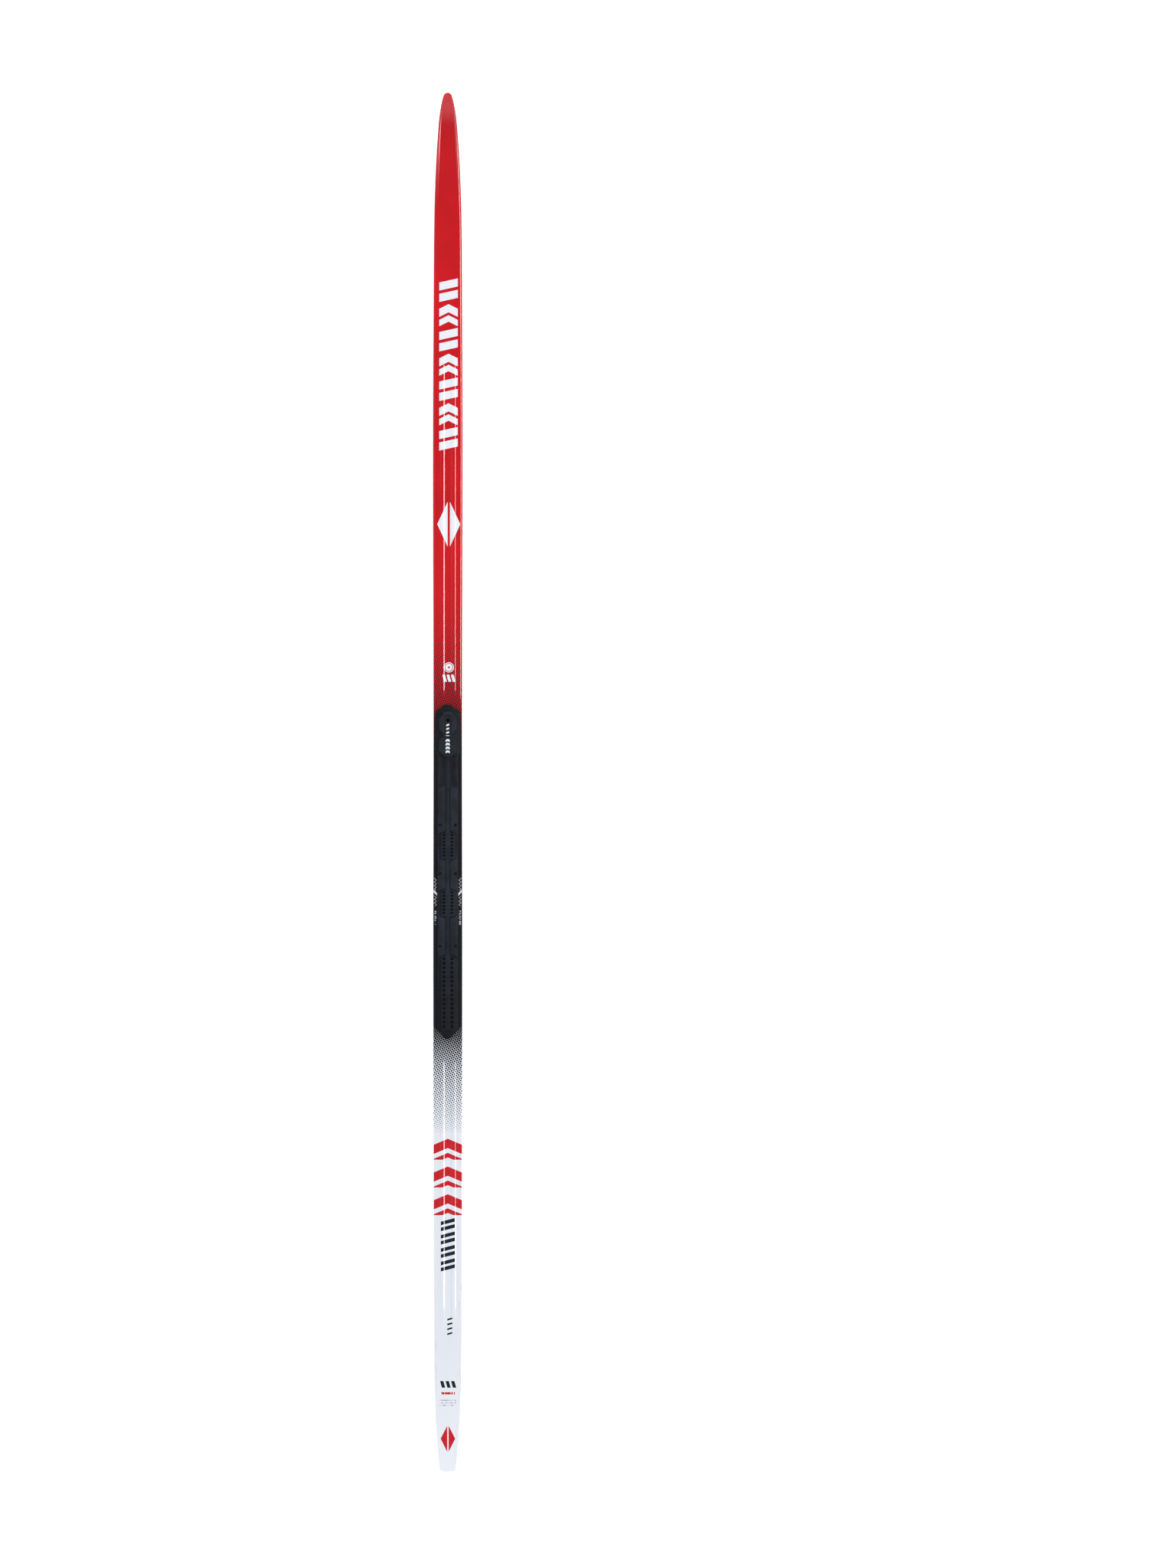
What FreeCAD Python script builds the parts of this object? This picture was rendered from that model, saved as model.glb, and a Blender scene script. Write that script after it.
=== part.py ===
import FreeCAD, Part
import math
import os
import Sketcher

# Cross country ski with a skin in its running base and a moulded binding plate.
# It lies on its running base: X across the ski, +Y towards the tip, +Z up, millimetres.
# The origin is on the floor under the middle of its length.

SIZES = {
    # side view of the running surface and of the top surface
    "ski_length": 2055.0,  # tip to tail, measured along the floor
    "tip_contact": 215.0,  # tip end to the front line of contact
    "tail_contact": 110.0,  # tail end to the rear line of contact
    "camber_radius": 12800.0,
    "tip_radius": 420.0,
    "tail_radius": 680.0,
    "crown_radius": 7780.0,
    "tip_top_radius": 425.0,
    "tail_top_radius": 775.0,
    "shovel_thickness": 7.5,  # at the front line of contact
    "tail_thickness": 7.0,  # at the rear line of contact
    # plan view: half widths, at distances from the tip, the middle or the tail
    "nose_radius": 6.6,
    "nose_turn": 70.0,  # degrees of the nose's arc on each side
    "cheek_half": 10.2, "cheek_from_tip": 20.0,
    "brow_half": 14.9, "brow_from_tip": 61.0,
    "shoulder_half": 19.0, "shoulder_from_tip": 136.0,
    "throat_half": 21.1, "throat_from_tip": 275.0,
    "shovel_half": 21.95, "shovel_from_tip": 450.0,
    "waist_half": 21.3, "waist_from_middle": 95.0,
    "heel_half": 21.7, "heel_from_middle": -230.0,
    "flank_half": 21.1, "flank_from_tail": 370.0,
    "taper_half": 20.4, "taper_from_tail": 165.0,
    "hip_half": 18.9, "hip_from_tail": 96.0,
    "tail_half": 16.4, "tail_from_tail": 50.0,
    "heelpiece_half": 12.6, "tail_corner_radius": 7.0,
    "tail_lean": 5.5,  # degrees between the side and the length at the corner
    "edge_tolerance": 0.05,
    # layers, from the floor up
    "base_thickness": 2.0,
    "laminate_thickness": 0.6,
    "reinforcement_thickness": 0.8,
    "top_sheet_thickness": 1.8,
    # running base
    "guide_groove_half": 4.0, "guide_groove_depth": 0.8,
    "guide_from_tip": 250.0, "guide_from_tail": 130.0, "guide_gap": 40.0,
    "round_end": 0.9,  # a groove's end corners, as a share of its half width
    "skin_half": 15.0, "skin_front": 262.0, "skin_rear": 188.0, "skin_corner": 6.0,
    "skin_recess_depth": 1.5, "skin_clearance": 0.3,
    "skin_glue_thickness": 0.3, "skin_pile": 1.4,
    # core
    "sidewall_width": 2.5, "stringer_width": 4.0,
    "tip_spacer_length": 235.0, "tail_spacer_length": 150.0,
    "core_block_front": 175.0, "core_block_rear": 430.0,
    # top sheet: a channel along the middle, and a step down to each side
    "channel_half": 5.4, "channel_depth": 1.0,
    "crest_half": 11.2, "wing_drop": 1.0,
    "relief_from_tip": 353.0, "relief_from_tail": 207.0, "relief_gap": 22.0,
    # binding plate: insets from the ski's edge, then distances back from the plate's nose
    "plate_ahead": 116.0, "plate_inset": 5.7, "flange_inset": 2.2, "flange_length": 72.5,
    "nose_depth": 11.8, "shoulder_depth": 5.0, "nose_tip_half": 4.4, "nose_corner_share": 0.52,
    "rear_depth": 15.0, "rear_tip_half": 4.0, "rear_land": 13.4, "edge_corner": 3.0,
    "bond_thickness": 0.3, "bond_inset": 1.5, "reinforcement_inset": 3.0,
    "floor_height": 1.7, "pad_height": 3.1, "ridge_height": 2.5, "island_height": 4.6,
    "island_start": 10.5, "island_length": 67.0, "island_inset": 8.6,
    "lobe_inset": 2.6, "lobe_length": 27.0, "lobe_gap": 5.5, "lobe_start": 15.1,
    "lobe_slant": 6.0, "lobe_corner": 1.5, "lip_height": 3.1, "lip_overlap": 0.5,
    "label_start": 15.5, "label_length": 59.0, "label_half": 5.0, "label_depth": 0.8,
    "label_thickness": 0.4, "label_clearance": 0.15, "label_corner": 2.0,
    "eye_start": 23.5, "eye_radius": 2.6, "eye_floor": 1.2,
    "rail_start": 76.5, "rail_length": 41.0, "rail_inset": 4.4, "rail_height": 2.6,
    "ridge_half": 2.9, "ridge_root": 1.0, "root_depth": 0.9,
    "pad_inner": 3.9, "pad_edge": 1.2, "pad_slant": 5.0, "pad_corner": 0.8, "pad_gap": 3.0,
    "rack_gap": 5.0,
    "pad1_length": 67.0, "pad2_length": 39.5, "pad3_length": 52.5,
    "rack_inset": 6.0, "rack_margin": 1.0, "rack_corner": 0.8,
    "rack1_pitch": 5.14, "rack1_teeth": 7,
    "rack2_pitch": 5.14, "rack2_teeth": 7,
    "rack3_pitch": 6.73, "rack3_teeth": 16,
    "tooth_inner": 3.6, "tooth_inset": 1.2, "tooth_share": 0.62, "tooth_floor": 1.0,
    # plate screws: each pair stands in a pair of pads, ahead of their rear ends
    "screw_inset": 4.2, "screw1_back": 8.0, "screw2_back": 21.0, "screw3_back": 11.5,
    "screw_head_radius": 2.6, "screw_head_height": 1.2, "screw_radius": 1.9,
    "screw_length": 13.0, "screw_clearance": 0.05, "screw_socket": 1.25, "socket_depth": 0.8,
    # reach of the blanks past what they cut
    "margin": 1.0, "blank_width": 80.0, "blank_height": 300.0, "cut_height": 6.0,
}


class Size:
    """A number together with the spreadsheet formula that gives it."""

    def __init__(self, value, formula):
        self.value = value
        self.formula = formula

    def joined(self, sign, other):
        other = as_size(other)
        values = {"+": self.value + other.value, "-": self.value - other.value,
                  "*": self.value * other.value}
        return Size(values[sign], f"({self.formula} {sign} {other.formula})")

    def __add__(self, other):
        return self.joined("+", other)

    def __sub__(self, other):
        return self.joined("-", other)

    def __mul__(self, other):
        return self.joined("*", other)

    def __neg__(self):
        return Size(-self.value, f"(0 - {self.formula})")


def as_size(number):
    return number if isinstance(number, Size) else Size(float(number), f"({number})")


doc = FreeCAD.newDocument("cross_country_ski")
sheet = doc.addObject("Spreadsheet::Sheet", "Sizes")
for row, (alias, number) in enumerate(SIZES.items(), start=1):
    sheet.set(f"A{row}", alias)
    sheet.set(f"B{row}", str(number))
    sheet.setAlias(f"B{row}", alias)
doc.recompute()


def size(alias):
    return Size(float(sheet.get(alias)), f"Sizes.{alias}")


def number(alias):
    return float(sheet.get(alias))


ZERO = as_size(0)
TIP = size("ski_length") * 0.5  # y of the tip's end
TAIL = -TIP
PLATE_NOSE = size("plate_ahead")
PLATE_HALF = size("waist_half") - size("plate_inset")
RACK_HALF = PLATE_HALF - size("rack_inset")
ISLAND_HALF = PLATE_HALF - size("island_inset")
SIDEWAYS = FreeCAD.Rotation(FreeCAD.Vector(1, 1, 1), 120)  # turns a sketch into the YZ plane


def bind(owner, prop, amount):
    owner.setExpression(prop, as_size(amount).formula)


def fix(sketch, kind, *where):
    """Adds a constraint whose last argument is a Size, bound to the sheet."""
    amount = as_size(where[-1])
    index = sketch.addConstraint(Sketcher.Constraint(kind, *where[:-1], amount.value))
    sketch.renameConstraint(index, f"size_{index}")
    bind(sketch, f"Constraints.size_{index}", amount)


# --- side view: three tangent arcs, moved up or down by an offset ---

SURFACES = {
    "base": ("tip_radius", "camber_radius", "tail_radius", None, None),
    "crown": ("tip_top_radius", "crown_radius", "tail_top_radius", "shovel_thickness",
              "tail_thickness"),
}


def three_arcs(surface, offset):
    """Centres and radii of a surface's tip, middle and tail arcs, raised by an offset."""
    tip_radius, middle_radius, tail_radius, tip_lift, tail_lift = SURFACES[surface]
    tip = {"y": TIP - size("tip_contact"), "z": size(tip_radius), "r": size(tip_radius) - offset}
    tail = {"y": TAIL + size("tail_contact"), "z": size(tail_radius),
            "r": size(tail_radius) - offset}
    if tip_lift:
        tip["z"] = tip["z"] + size(tip_lift)
        tail["z"] = tail["z"] + size(tail_lift)
    middle = {"r": size(middle_radius) + offset}
    far, near = middle["r"].value + tip["r"].value, middle["r"].value + tail["r"].value
    across, up = tip["y"].value - tail["y"].value, tip["z"].value - tail["z"].value
    span = math.hypot(across, up)
    along = (near**2 - far**2 + span**2) / (2 * span)
    below = math.sqrt(near**2 - along**2)
    middle["centre"] = (tail["y"].value + (along * across + below * up) / span,
                        tail["z"].value + (along * up - below * across) / span)
    return tip, middle, tail


def crown_point(y, height):
    """Height and slope of the top surface's middle arc, raised by a height, at y."""
    centre = three_arcs("crown", as_size(height))[1]
    radius = centre["r"].value
    run = y - centre["centre"][0]
    rise = math.sqrt(radius**2 - run**2)
    return centre["centre"][1] + rise, math.atan2(run, rise)


def arc(sketch, centre, radius, start, end):
    circle = Part.Circle(FreeCAD.Vector(*centre, 0), FreeCAD.Vector(0, 0, 1), radius)
    angles = [math.atan2(y - centre[1], x - centre[0]) for x, y in (start, end)]
    return sketch.addGeometry(Part.ArcOfCircle(circle, *angles), False)


def surface_line(sketch, surface, offset):
    """Draws a surface's three arcs and returns the tip arc and the tail arc."""
    tip, middle, tail = three_arcs(surface, offset)
    reach = TIP + size("margin")
    centres = {name: (at["y"].value, at["z"].value) for name, at in (("tip", tip), ("tail", tail))}
    joints = {}
    for name, at in (("tip", tip), ("tail", tail)):
        share = middle["r"].value / (middle["r"].value + at["r"].value)
        joints[name] = tuple(m + (c - m) * share for m, c in zip(middle["centre"], centres[name]))
    ends = {}
    for name, at, y in (("tip", tip, reach.value), ("tail", tail, -reach.value)):
        ends[name] = (y, at["z"].value - math.sqrt(at["r"].value**2 - (y - at["y"].value) ** 2))
    tip_arc = arc(sketch, centres["tip"], tip["r"].value, joints["tip"], ends["tip"])
    middle_arc = arc(sketch, middle["centre"], middle["r"].value, joints["tip"], joints["tail"])
    tail_arc = arc(sketch, centres["tail"], tail["r"].value, ends["tail"], joints["tail"])
    for geometry, at in ((tip_arc, tip), (tail_arc, tail)):
        fix(sketch, "DistanceX", -1, 1, geometry, 3, at["y"])
        fix(sketch, "DistanceY", -1, 1, geometry, 3, at["z"])
        fix(sketch, "Radius", geometry, at["r"])
    fix(sketch, "Radius", middle_arc, middle["r"])
    sketch.addConstraint(Sketcher.Constraint("Tangent", tip_arc, 1, middle_arc, 1))
    sketch.addConstraint(Sketcher.Constraint("Tangent", middle_arc, 2, tail_arc, 2))
    fix(sketch, "DistanceX", -1, 1, tip_arc, 2, reach)
    fix(sketch, "DistanceX", -1, 1, tail_arc, 1, -reach)
    return tip_arc, tail_arc


def band(name, low, high, width="blank_width"):
    """The space between two surfaces, along the whole ski. low and high: (surface, offset)."""
    sketch = doc.addObject("Sketcher::SketchObject", f"{name}_side")
    sketch.Placement = FreeCAD.Placement(FreeCAD.Vector(0, 0, 0), SIDEWAYS)
    arcs = [surface_line(sketch, surface, as_size(offset)) for surface, offset in (low, high)]
    for ends, point in ((tuple(a[0] for a in arcs), 2), (tuple(a[1] for a in arcs), 1)):
        corners = [sketch.getPoint(geometry, point) for geometry in ends]
        line = sketch.addGeometry(Part.LineSegment(*corners), False)
        for end, geometry in enumerate(ends, start=1):
            sketch.addConstraint(Sketcher.Constraint("Coincident", line, end, geometry, point))
    return extrusion(f"{name}_band", sketch, size(width))


def extrusion(name, base, length):
    solid = doc.addObject("Part::Extrusion", name)
    solid.Base = base
    solid.DirMode = "Normal"
    solid.Solid = True
    solid.Symmetric = True
    bind(solid, "LengthFwd", length)
    return solid


# --- plan view ---

def outline(name, corners):
    """A closed sketch through corners (x, y, radius), each rounded where its radius is given."""
    sketch = doc.addObject("Sketcher::SketchObject", f"{name}_plan")
    points = [FreeCAD.Vector(as_size(x).value, as_size(y).value, 0) for x, y, _ in corners]
    cuts = []
    for i, (_, _, radius) in enumerate(corners):
        before, here, after = points[i - 1], points[i], points[(i + 1) % len(points)]
        inward, onward = (before - here).normalize(), (after - here).normalize()
        half = inward.getAngle(onward) / 2
        back = as_size(radius).value / math.tan(half) if radius else 0
        cuts.append((here + inward * back, here + onward * back, (inward + onward), half))
    lines = []
    for i in range(len(corners)):
        segment = Part.LineSegment(cuts[i - 1][1], cuts[i][0])
        lines.append(sketch.addGeometry(segment, False))
    for i, (x, y, radius) in enumerate(corners):
        arriving, leaving = lines[i], lines[(i + 1) % len(lines)]
        if not radius:
            sketch.addConstraint(Sketcher.Constraint("Coincident", arriving, 2, leaving, 1))
            fix(sketch, "DistanceX", -1, 1, arriving, 2, x)
            fix(sketch, "DistanceY", -1, 1, arriving, 2, y)
            continue
        start, end, towards, half = cuts[i]
        centre = points[i] + towards.normalize() * (as_size(radius).value / math.sin(half))
        middle = centre + (points[i] - centre).normalize() * as_size(radius).value
        bend = Part.Arc(start, middle, end).toShape().Curve
        first, last = (start, end) if turns_left(start, middle, end) else (end, start)
        round_corner = arc(sketch, (centre.x, centre.y), bend.Radius,
                           (first.x, first.y), (last.x, last.y))
        at_start, at_end = (1, 2) if first is start else (2, 1)
        corner = sketch.addGeometry(Part.Point(points[i]), True)
        fix(sketch, "DistanceX", -1, 1, corner, 1, x)
        fix(sketch, "DistanceY", -1, 1, corner, 1, y)
        for line in (arriving, leaving):
            sketch.addConstraint(Sketcher.Constraint("PointOnObject", corner, 1, line))
        sketch.addConstraint(Sketcher.Constraint("Tangent", arriving, 2, round_corner, at_start))
        sketch.addConstraint(Sketcher.Constraint("Tangent", round_corner, at_end, leaving, 1))
        fix(sketch, "Radius", round_corner, radius)
    return sketch


def turns_left(start, middle, end):
    return (middle - start).cross(end - middle).z > 0


def rectangle(name, half, front, length, corner=None):
    """A rectangle centred across the ski, from front, back by length."""
    rear = front - length
    return outline(name, [(half, rear, corner), (half, front, corner),
                          (-half, front, corner), (-half, rear, corner)])


def prism(name, plan):
    return extrusion(f"{name}_prism", plan, size("blank_height"))


def station(alias):
    """Half width and y of a place along the edge."""
    if alias in ("waist", "heel"):
        y = number(f"{alias}_from_middle")
    elif alias in ("flank", "taper", "hip", "tail"):
        y = TAIL.value + number(f"{alias}_from_tail")
    else:
        y = TIP.value - number(f"{alias}_from_tip")
    return number(f"{alias}_half"), y


def edge_arcs(side, points):
    """A smooth edge through points on one side of the ski, from the tip back, as arcs."""
    curve = Part.BSplineCurve()
    curve.interpolate(Points=[FreeCAD.Vector(side * x, y, 0) for x, y in points])
    return [piece.toShape() for piece in curve.toBiArcs(number("edge_tolerance"))]


def face(name, edges):
    plan = doc.addObject("Part::Feature", f"{name}_plan")
    plan.Shape = Part.Face(Part.Wire(edges))
    return plan


def ski_outline(name):
    """The ski's whole plan: a round nose, a smooth edge on each side and a rounded tail."""
    tip, tail = TIP.value, TAIL.value
    turn, nose = math.radians(number("nose_turn")), number("nose_radius")
    lean, corner = math.radians(number("tail_lean")), number("tail_corner_radius")
    nose_end = (nose * math.sin(turn), tip - nose + nose * math.cos(turn))
    inner = number("heelpiece_half") - corner * math.cos(lean)
    corner_start = (number("heelpiece_half"), tail + corner - corner * math.sin(lean))
    bend = (math.radians(90) - lean) / 2
    points = [nose_end, *map(station, ("cheek", "brow", "shoulder", "throat", "shovel", "waist",
                                       "heel", "flank", "taper", "hip", "tail")), corner_start]
    sides = {}
    for side in (1, -1):
        start, middle, end = (FreeCAD.Vector(side * x, y, 0) for x, y in (
            corner_start, (inner + corner * math.sin(bend), tail + corner - corner * math.cos(bend)),
            (inner, tail)))
        sides[side] = [*edge_arcs(side, points), Part.Arc(start, middle, end).toShape()]
    left, right = (FreeCAD.Vector(side * nose_end[0], nose_end[1], 0) for side in (-1, 1))
    front = Part.Arc(left, FreeCAD.Vector(0, tip, 0), right).toShape()
    back = Part.LineSegment(FreeCAD.Vector(inner, tail, 0), FreeCAD.Vector(-inner, tail, 0))
    return face(name, [front, *sides[1], back.toShape(), *reversed(sides[-1])])


def core_outline(name, inset):
    """The plan of what lies between the spacers, drawn in from the edge by an inset."""
    points = [(x - inset, y) for x, y in map(station, (
        "shoulder", "throat", "shovel", "waist", "heel", "flank", "taper", "hip"))]
    front, back = (Part.LineSegment(FreeCAD.Vector(-side * points[end][0], points[end][1], 0),
                                    FreeCAD.Vector(side * points[end][0], points[end][1], 0))
                   for end, side in ((0, 1), (-1, -1)))
    return face(name, [front.toShape(), *edge_arcs(1, points), back.toShape(),
                       *reversed(edge_arcs(-1, points))])


# --- joining blanks ---

def common(name, *shapes):
    result = doc.addObject("Part::MultiCommon", name)
    result.Shapes = list(shapes)
    return result


def fused(name, *shapes):
    result = doc.addObject("Part::MultiFuse", name)
    result.Shapes = list(shapes)
    return result


def cut(name, base, *tools):
    for i, tool in enumerate(tools):
        result = doc.addObject("Part::Cut", name if tool is tools[-1] else f"{name}_cut{i}")
        result.Base, result.Tool = base, tool
        base = result
    return base


def zone(name, front, rear, left=None, right=None):
    """A box as tall as the blanks, from rear to front, and from left to right."""
    box = doc.addObject("Part::Box", name)
    left = -size("blank_width") if left is None else left
    right = size("blank_width") if right is None else right
    bind(box, "Length", right - left)
    bind(box, "Width", front - rear)
    bind(box, "Height", size("blank_height"))
    bind(box, "Placement.Base.x", left)
    bind(box, "Placement.Base.y", rear)
    bind(box, "Placement.Base.z", -size("blank_height") * 0.5)
    return box


pieces = []


def keep(node, shape):
    shape.Label = node
    pieces.append((node, shape))
    return shape


base_top = size("base_thickness")
laminate_top = base_top + size("laminate_thickness")
sheet_under = -size("top_sheet_thickness")
laminate_under = sheet_under - size("laminate_thickness")
whole = prism("ski", ski_outline("ski"))
behind_wall = prism("behind_wall", core_outline("behind_wall", number("sidewall_width")))
core_inset = number("sidewall_width") + number("stringer_width")
behind_stringer = prism("behind_stringer", core_outline("behind_stringer", core_inset))

# --- plate screws, and the same shape grown by a clearance to cut their holes ---

# along the plate: the rails, then pads and racks in turn, each behind the one before
pad_starts = []
rack_starts = []
along = size("rail_start") + size("rail_length") + size("pad_gap")
for i in (1, 2, 3):
    pad_starts.append(along)
    rack_starts.append(along + size(f"pad{i}_length") + size("rack_gap"))
    along = rack_starts[-1] + size(f"rack{i}_pitch") * number(f"rack{i}_teeth") + size("rack_gap")
PLATE_LENGTH = along - size("rack_gap") + size("rear_land")
SCREW_ROWS = [pad_starts[i] + size(f"pad{i + 1}_length") - size(f"screw{i + 1}_back")
              for i in range(3)]
SCREW_ACROSS = PLATE_HALF - size("screw_inset")


def screw_body(name, extra, socket):
    """A countersunk screw on its own axis, its head's top at the origin, tip down."""
    body = doc.addObject("PartDesign::Body", name)
    planes = {feature.Role: feature for feature in body.Origin.OriginFeatures}
    profile = body.newObject("Sketcher::SketchObject", f"{name}_profile")
    profile.AttachmentSupport = (planes["XZ_Plane"], [""])
    profile.MapMode = "FlatFace"
    head, shank = size("screw_head_radius") + extra, size("screw_radius") + extra
    neck, foot = -size("screw_head_height") - extra, -size("screw_length") - extra
    top = ZERO if socket else as_size(size("cut_height"))
    corners = [(ZERO, top), (head, top), (head, neck), (shank, neck), (shank, foot), (ZERO, foot)]
    for i, (x, y) in enumerate(corners):
        after = corners[(i + 1) % len(corners)]
        profile.addGeometry(Part.LineSegment(FreeCAD.Vector(x.value, y.value, 0),
                                             FreeCAD.Vector(after[0].value, after[1].value, 0)))
    for i, (x, y) in enumerate(corners):
        profile.addConstraint(Sketcher.Constraint("Coincident", i - 1 if i else 5, 2, i, 1))
        fix(profile, "DistanceX", -1, 1, i, 1, x)
        fix(profile, "DistanceY", -1, 1, i, 1, y)
    turned = body.newObject("PartDesign::Revolution", f"{name}_turned")
    turned.Profile = profile
    turned.ReferenceAxis = (profile, ["V_Axis"])
    turned.Angle = 360
    if socket:
        plan = body.newObject("Sketcher::SketchObject", f"{name}_socket_plan")
        plan.AttachmentSupport = (planes["XY_Plane"], [""])
        plan.MapMode = "FlatFace"
        for i in range(6):
            a, b = (FreeCAD.Vector(math.cos(math.radians(60 * k)), math.sin(math.radians(60 * k)), 0)
                    * number("screw_socket") for k in (i, i + 1))
            plan.addGeometry(Part.LineSegment(a, b))
        ring = plan.addGeometry(Part.Circle(FreeCAD.Vector(0, 0, 0), FreeCAD.Vector(0, 0, 1),
                                            number("screw_socket")), True)
        plan.addConstraint(Sketcher.Constraint("Coincident", ring, 3, -1, 1))
        fix(plan, "Radius", ring, size("screw_socket"))
        for i in range(6):
            plan.addConstraint(Sketcher.Constraint("Coincident", i, 2, (i + 1) % 6, 1))
            plan.addConstraint(Sketcher.Constraint("PointOnObject", i, 1, ring))
            if i:
                plan.addConstraint(Sketcher.Constraint("Equal", 0, i))
        plan.addConstraint(Sketcher.Constraint("PointOnObject", 0, 1, -1))
        pocket = body.newObject("PartDesign::Pocket", f"{name}_socket")
        pocket.Profile = plan
        bind(pocket, "Length", size("socket_depth"))
    return body


def on_plate(name, body, height):
    """Copies of a body at the six screw places, standing square on the plate at a height."""
    copies = []
    for row, back in enumerate(SCREW_ROWS):
        y = (PLATE_NOSE - back).value
        z, slope = crown_point(y, height)
        for side in (-1, 1):
            copy = doc.addObject("App::Link", f"{name}_{row}_{side + 1}")
            copy.LinkedObject = body
            place = FreeCAD.Vector(side * SCREW_ACROSS.value, y, z)
            copy.Placement = FreeCAD.Placement(
                place, FreeCAD.Rotation(FreeCAD.Vector(1, 0, 0), -math.degrees(slope)))
            copies.append(copy)
    group = doc.addObject("Part::Compound", name)
    group.Links = copies
    return group


head_height = size("bond_thickness") + size("pad_height") - size("screw_clearance")
screw = screw_body("screw", ZERO, True)
screw_hole = screw_body("screw_hole", size("screw_clearance"), False)
plate_screws = on_plate("plate_screws", screw, head_height)
screw_holes = on_plate("screw_holes", screw_hole, head_height)

# --- running base, with its guide groove and the recess for the skin ---

base_band = band("base", ("base", ZERO), ("base", base_top))
groove_band = band("groove", ("base", -size("margin")), ("base", size("guide_groove_depth")))
recess_band = band("recess", ("base", -size("margin")), ("base", size("skin_recess_depth")))
skin_front, skin_length = size("skin_front"), size("skin_front") + size("skin_rear")
clearance = size("skin_clearance")
front_groove = rectangle("front_groove", size("guide_groove_half"), TIP - size("guide_from_tip"),
                         TIP - size("guide_from_tip") - size("guide_gap") - skin_front,
                         size("guide_groove_half") * size("round_end"))
rear_front = -size("skin_rear") - size("guide_gap")
rear_groove = rectangle("rear_groove", size("guide_groove_half"), rear_front,
                        rear_front - TAIL - size("guide_from_tail"),
                        size("guide_groove_half") * size("round_end"))
recess = rectangle("recess", size("skin_half") + clearance, skin_front + clearance,
                   skin_length + clearance * 2, size("skin_corner") + clearance)
keep("running_base", cut(
    "running_base", common("base_blank", base_band, whole),
    common("front_groove_cut", groove_band, prism("front_groove", front_groove)),
    common("rear_groove_cut", groove_band, prism("rear_groove", rear_groove)),
    common("recess_cut", recess_band, prism("recess", recess))))

# --- skin and its glue, in the recess ---

skin_plan = prism("skin", rectangle("skin", size("skin_half"), skin_front, skin_length,
                                    size("skin_corner")))
glue_under = size("skin_recess_depth") - size("skin_glue_thickness")
glue_band = band("glue", ("base", glue_under), ("base", size("skin_recess_depth")))
skin_band = band("skin", ("base", glue_under - size("skin_pile")), ("base", glue_under))
keep("skin_glue", common("skin_glue", glue_band, skin_plan))
keep("mohair_skin", common("mohair_skin", skin_band, skin_plan))

# --- laminates round the core ---

lower_band = band("lower_laminate", ("base", base_top), ("base", laminate_top))
upper_band = band("upper_laminate", ("crown", laminate_under), ("crown", sheet_under))
keep("lower_laminate", common("lower_laminate", lower_band, whole))

# --- core, between the laminates ---

core_band = band("core", ("base", laminate_top), ("crown", laminate_under))
spacer_front, spacer_rear = TIP - size("tip_spacer_length"), TAIL + size("tail_spacer_length")
beyond = size("margin")
keep("tip_spacer", common("tip_spacer", core_band, whole,
                          zone("tip_zone", TIP + beyond, spacer_front)))
keep("tail_spacer", common("tail_spacer", core_band, whole,
                           zone("tail_zone", spacer_rear, TAIL - beyond)))
for side, left, right in (("left", None, ZERO), ("right", ZERO, None)):
    half_core = common(f"{side}_half", core_band, zone(f"{side}_zone", spacer_front, spacer_rear,
                                                       left, right))
    keep(f"sidewall_{side}", cut(f"sidewall_{side}", common(f"{side}_wall", half_core, whole),
                                 behind_wall))
    keep(f"stringer_{side}", cut(f"stringer_{side}", common(f"{side}_rib", half_core, behind_wall),
                                 behind_stringer))
block_front, block_rear = size("core_block_front"), -size("core_block_rear")
keep("core_front", common("core_front", core_band, behind_stringer,
                          zone("front_zone", spacer_front, block_front)))
keep("core_rear", common("core_rear", core_band, behind_stringer,
                         zone("rear_zone", block_rear, spacer_rear)))
plate_core = common("plate_core", core_band, behind_stringer,
                    zone("block_zone", block_front, block_rear))

# --- binding reinforcement, let into the top of the core block ---

inset = size("reinforcement_inset")
sheet_plan = rectangle("reinforcement", PLATE_HALF - inset * 0.5, PLATE_NOSE - inset,
                       PLATE_LENGTH - inset * 2, size("edge_corner"))
reinforcement_band = band("reinforcement", ("crown", laminate_under - size(
    "reinforcement_thickness")), ("crown", laminate_under))
reinforcement = common("reinforcement_blank", reinforcement_band,
                       prism("reinforcement", sheet_plan))
inner_reinforcement = common("reinforcement_fitted", reinforcement, behind_stringer)
keep("core_block", cut("core_block", plate_core, inner_reinforcement, screw_holes))
keep("binding_reinforcement", cut("binding_reinforcement", inner_reinforcement, screw_holes))
keep("upper_laminate", cut("upper_laminate", common("upper_blank", upper_band, whole),
                           screw_holes))

# --- top sheet: the channel along its middle and a lower wing along each side ---

sheet_band = band("top_sheet", ("crown", sheet_under), ("crown", ZERO))
channel_band = band("channel", ("crown", -size("channel_depth")), ("crown", beyond))
wing_band = band("wing", ("crown", -size("wing_drop")), ("crown", beyond))
relief_front, relief_rear = TIP - size("relief_from_tip"), TAIL + size("relief_from_tail")
ahead = PLATE_NOSE + size("relief_gap")
behind = PLATE_NOSE - PLATE_LENGTH - size("relief_gap")
relief_cuts = []
for name, front, rear in (("fore", relief_front, ahead), ("aft", behind, relief_rear)):
    relief_cuts.append(common(f"{name}_channel", channel_band, prism(f"{name}_channel", rectangle(
        f"{name}_channel", size("channel_half"), front, front - rear,
        size("channel_half") * size("round_end")))))
    for side, left, right in (("left", None, -size("crest_half")), ("right", size("crest_half"),
                                                                    None)):
        relief_cuts.append(common(f"{name}_wing_{side}", wing_band,
                                  zone(f"{name}_wing_{side}_zone", front, rear, left, right)))
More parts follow.
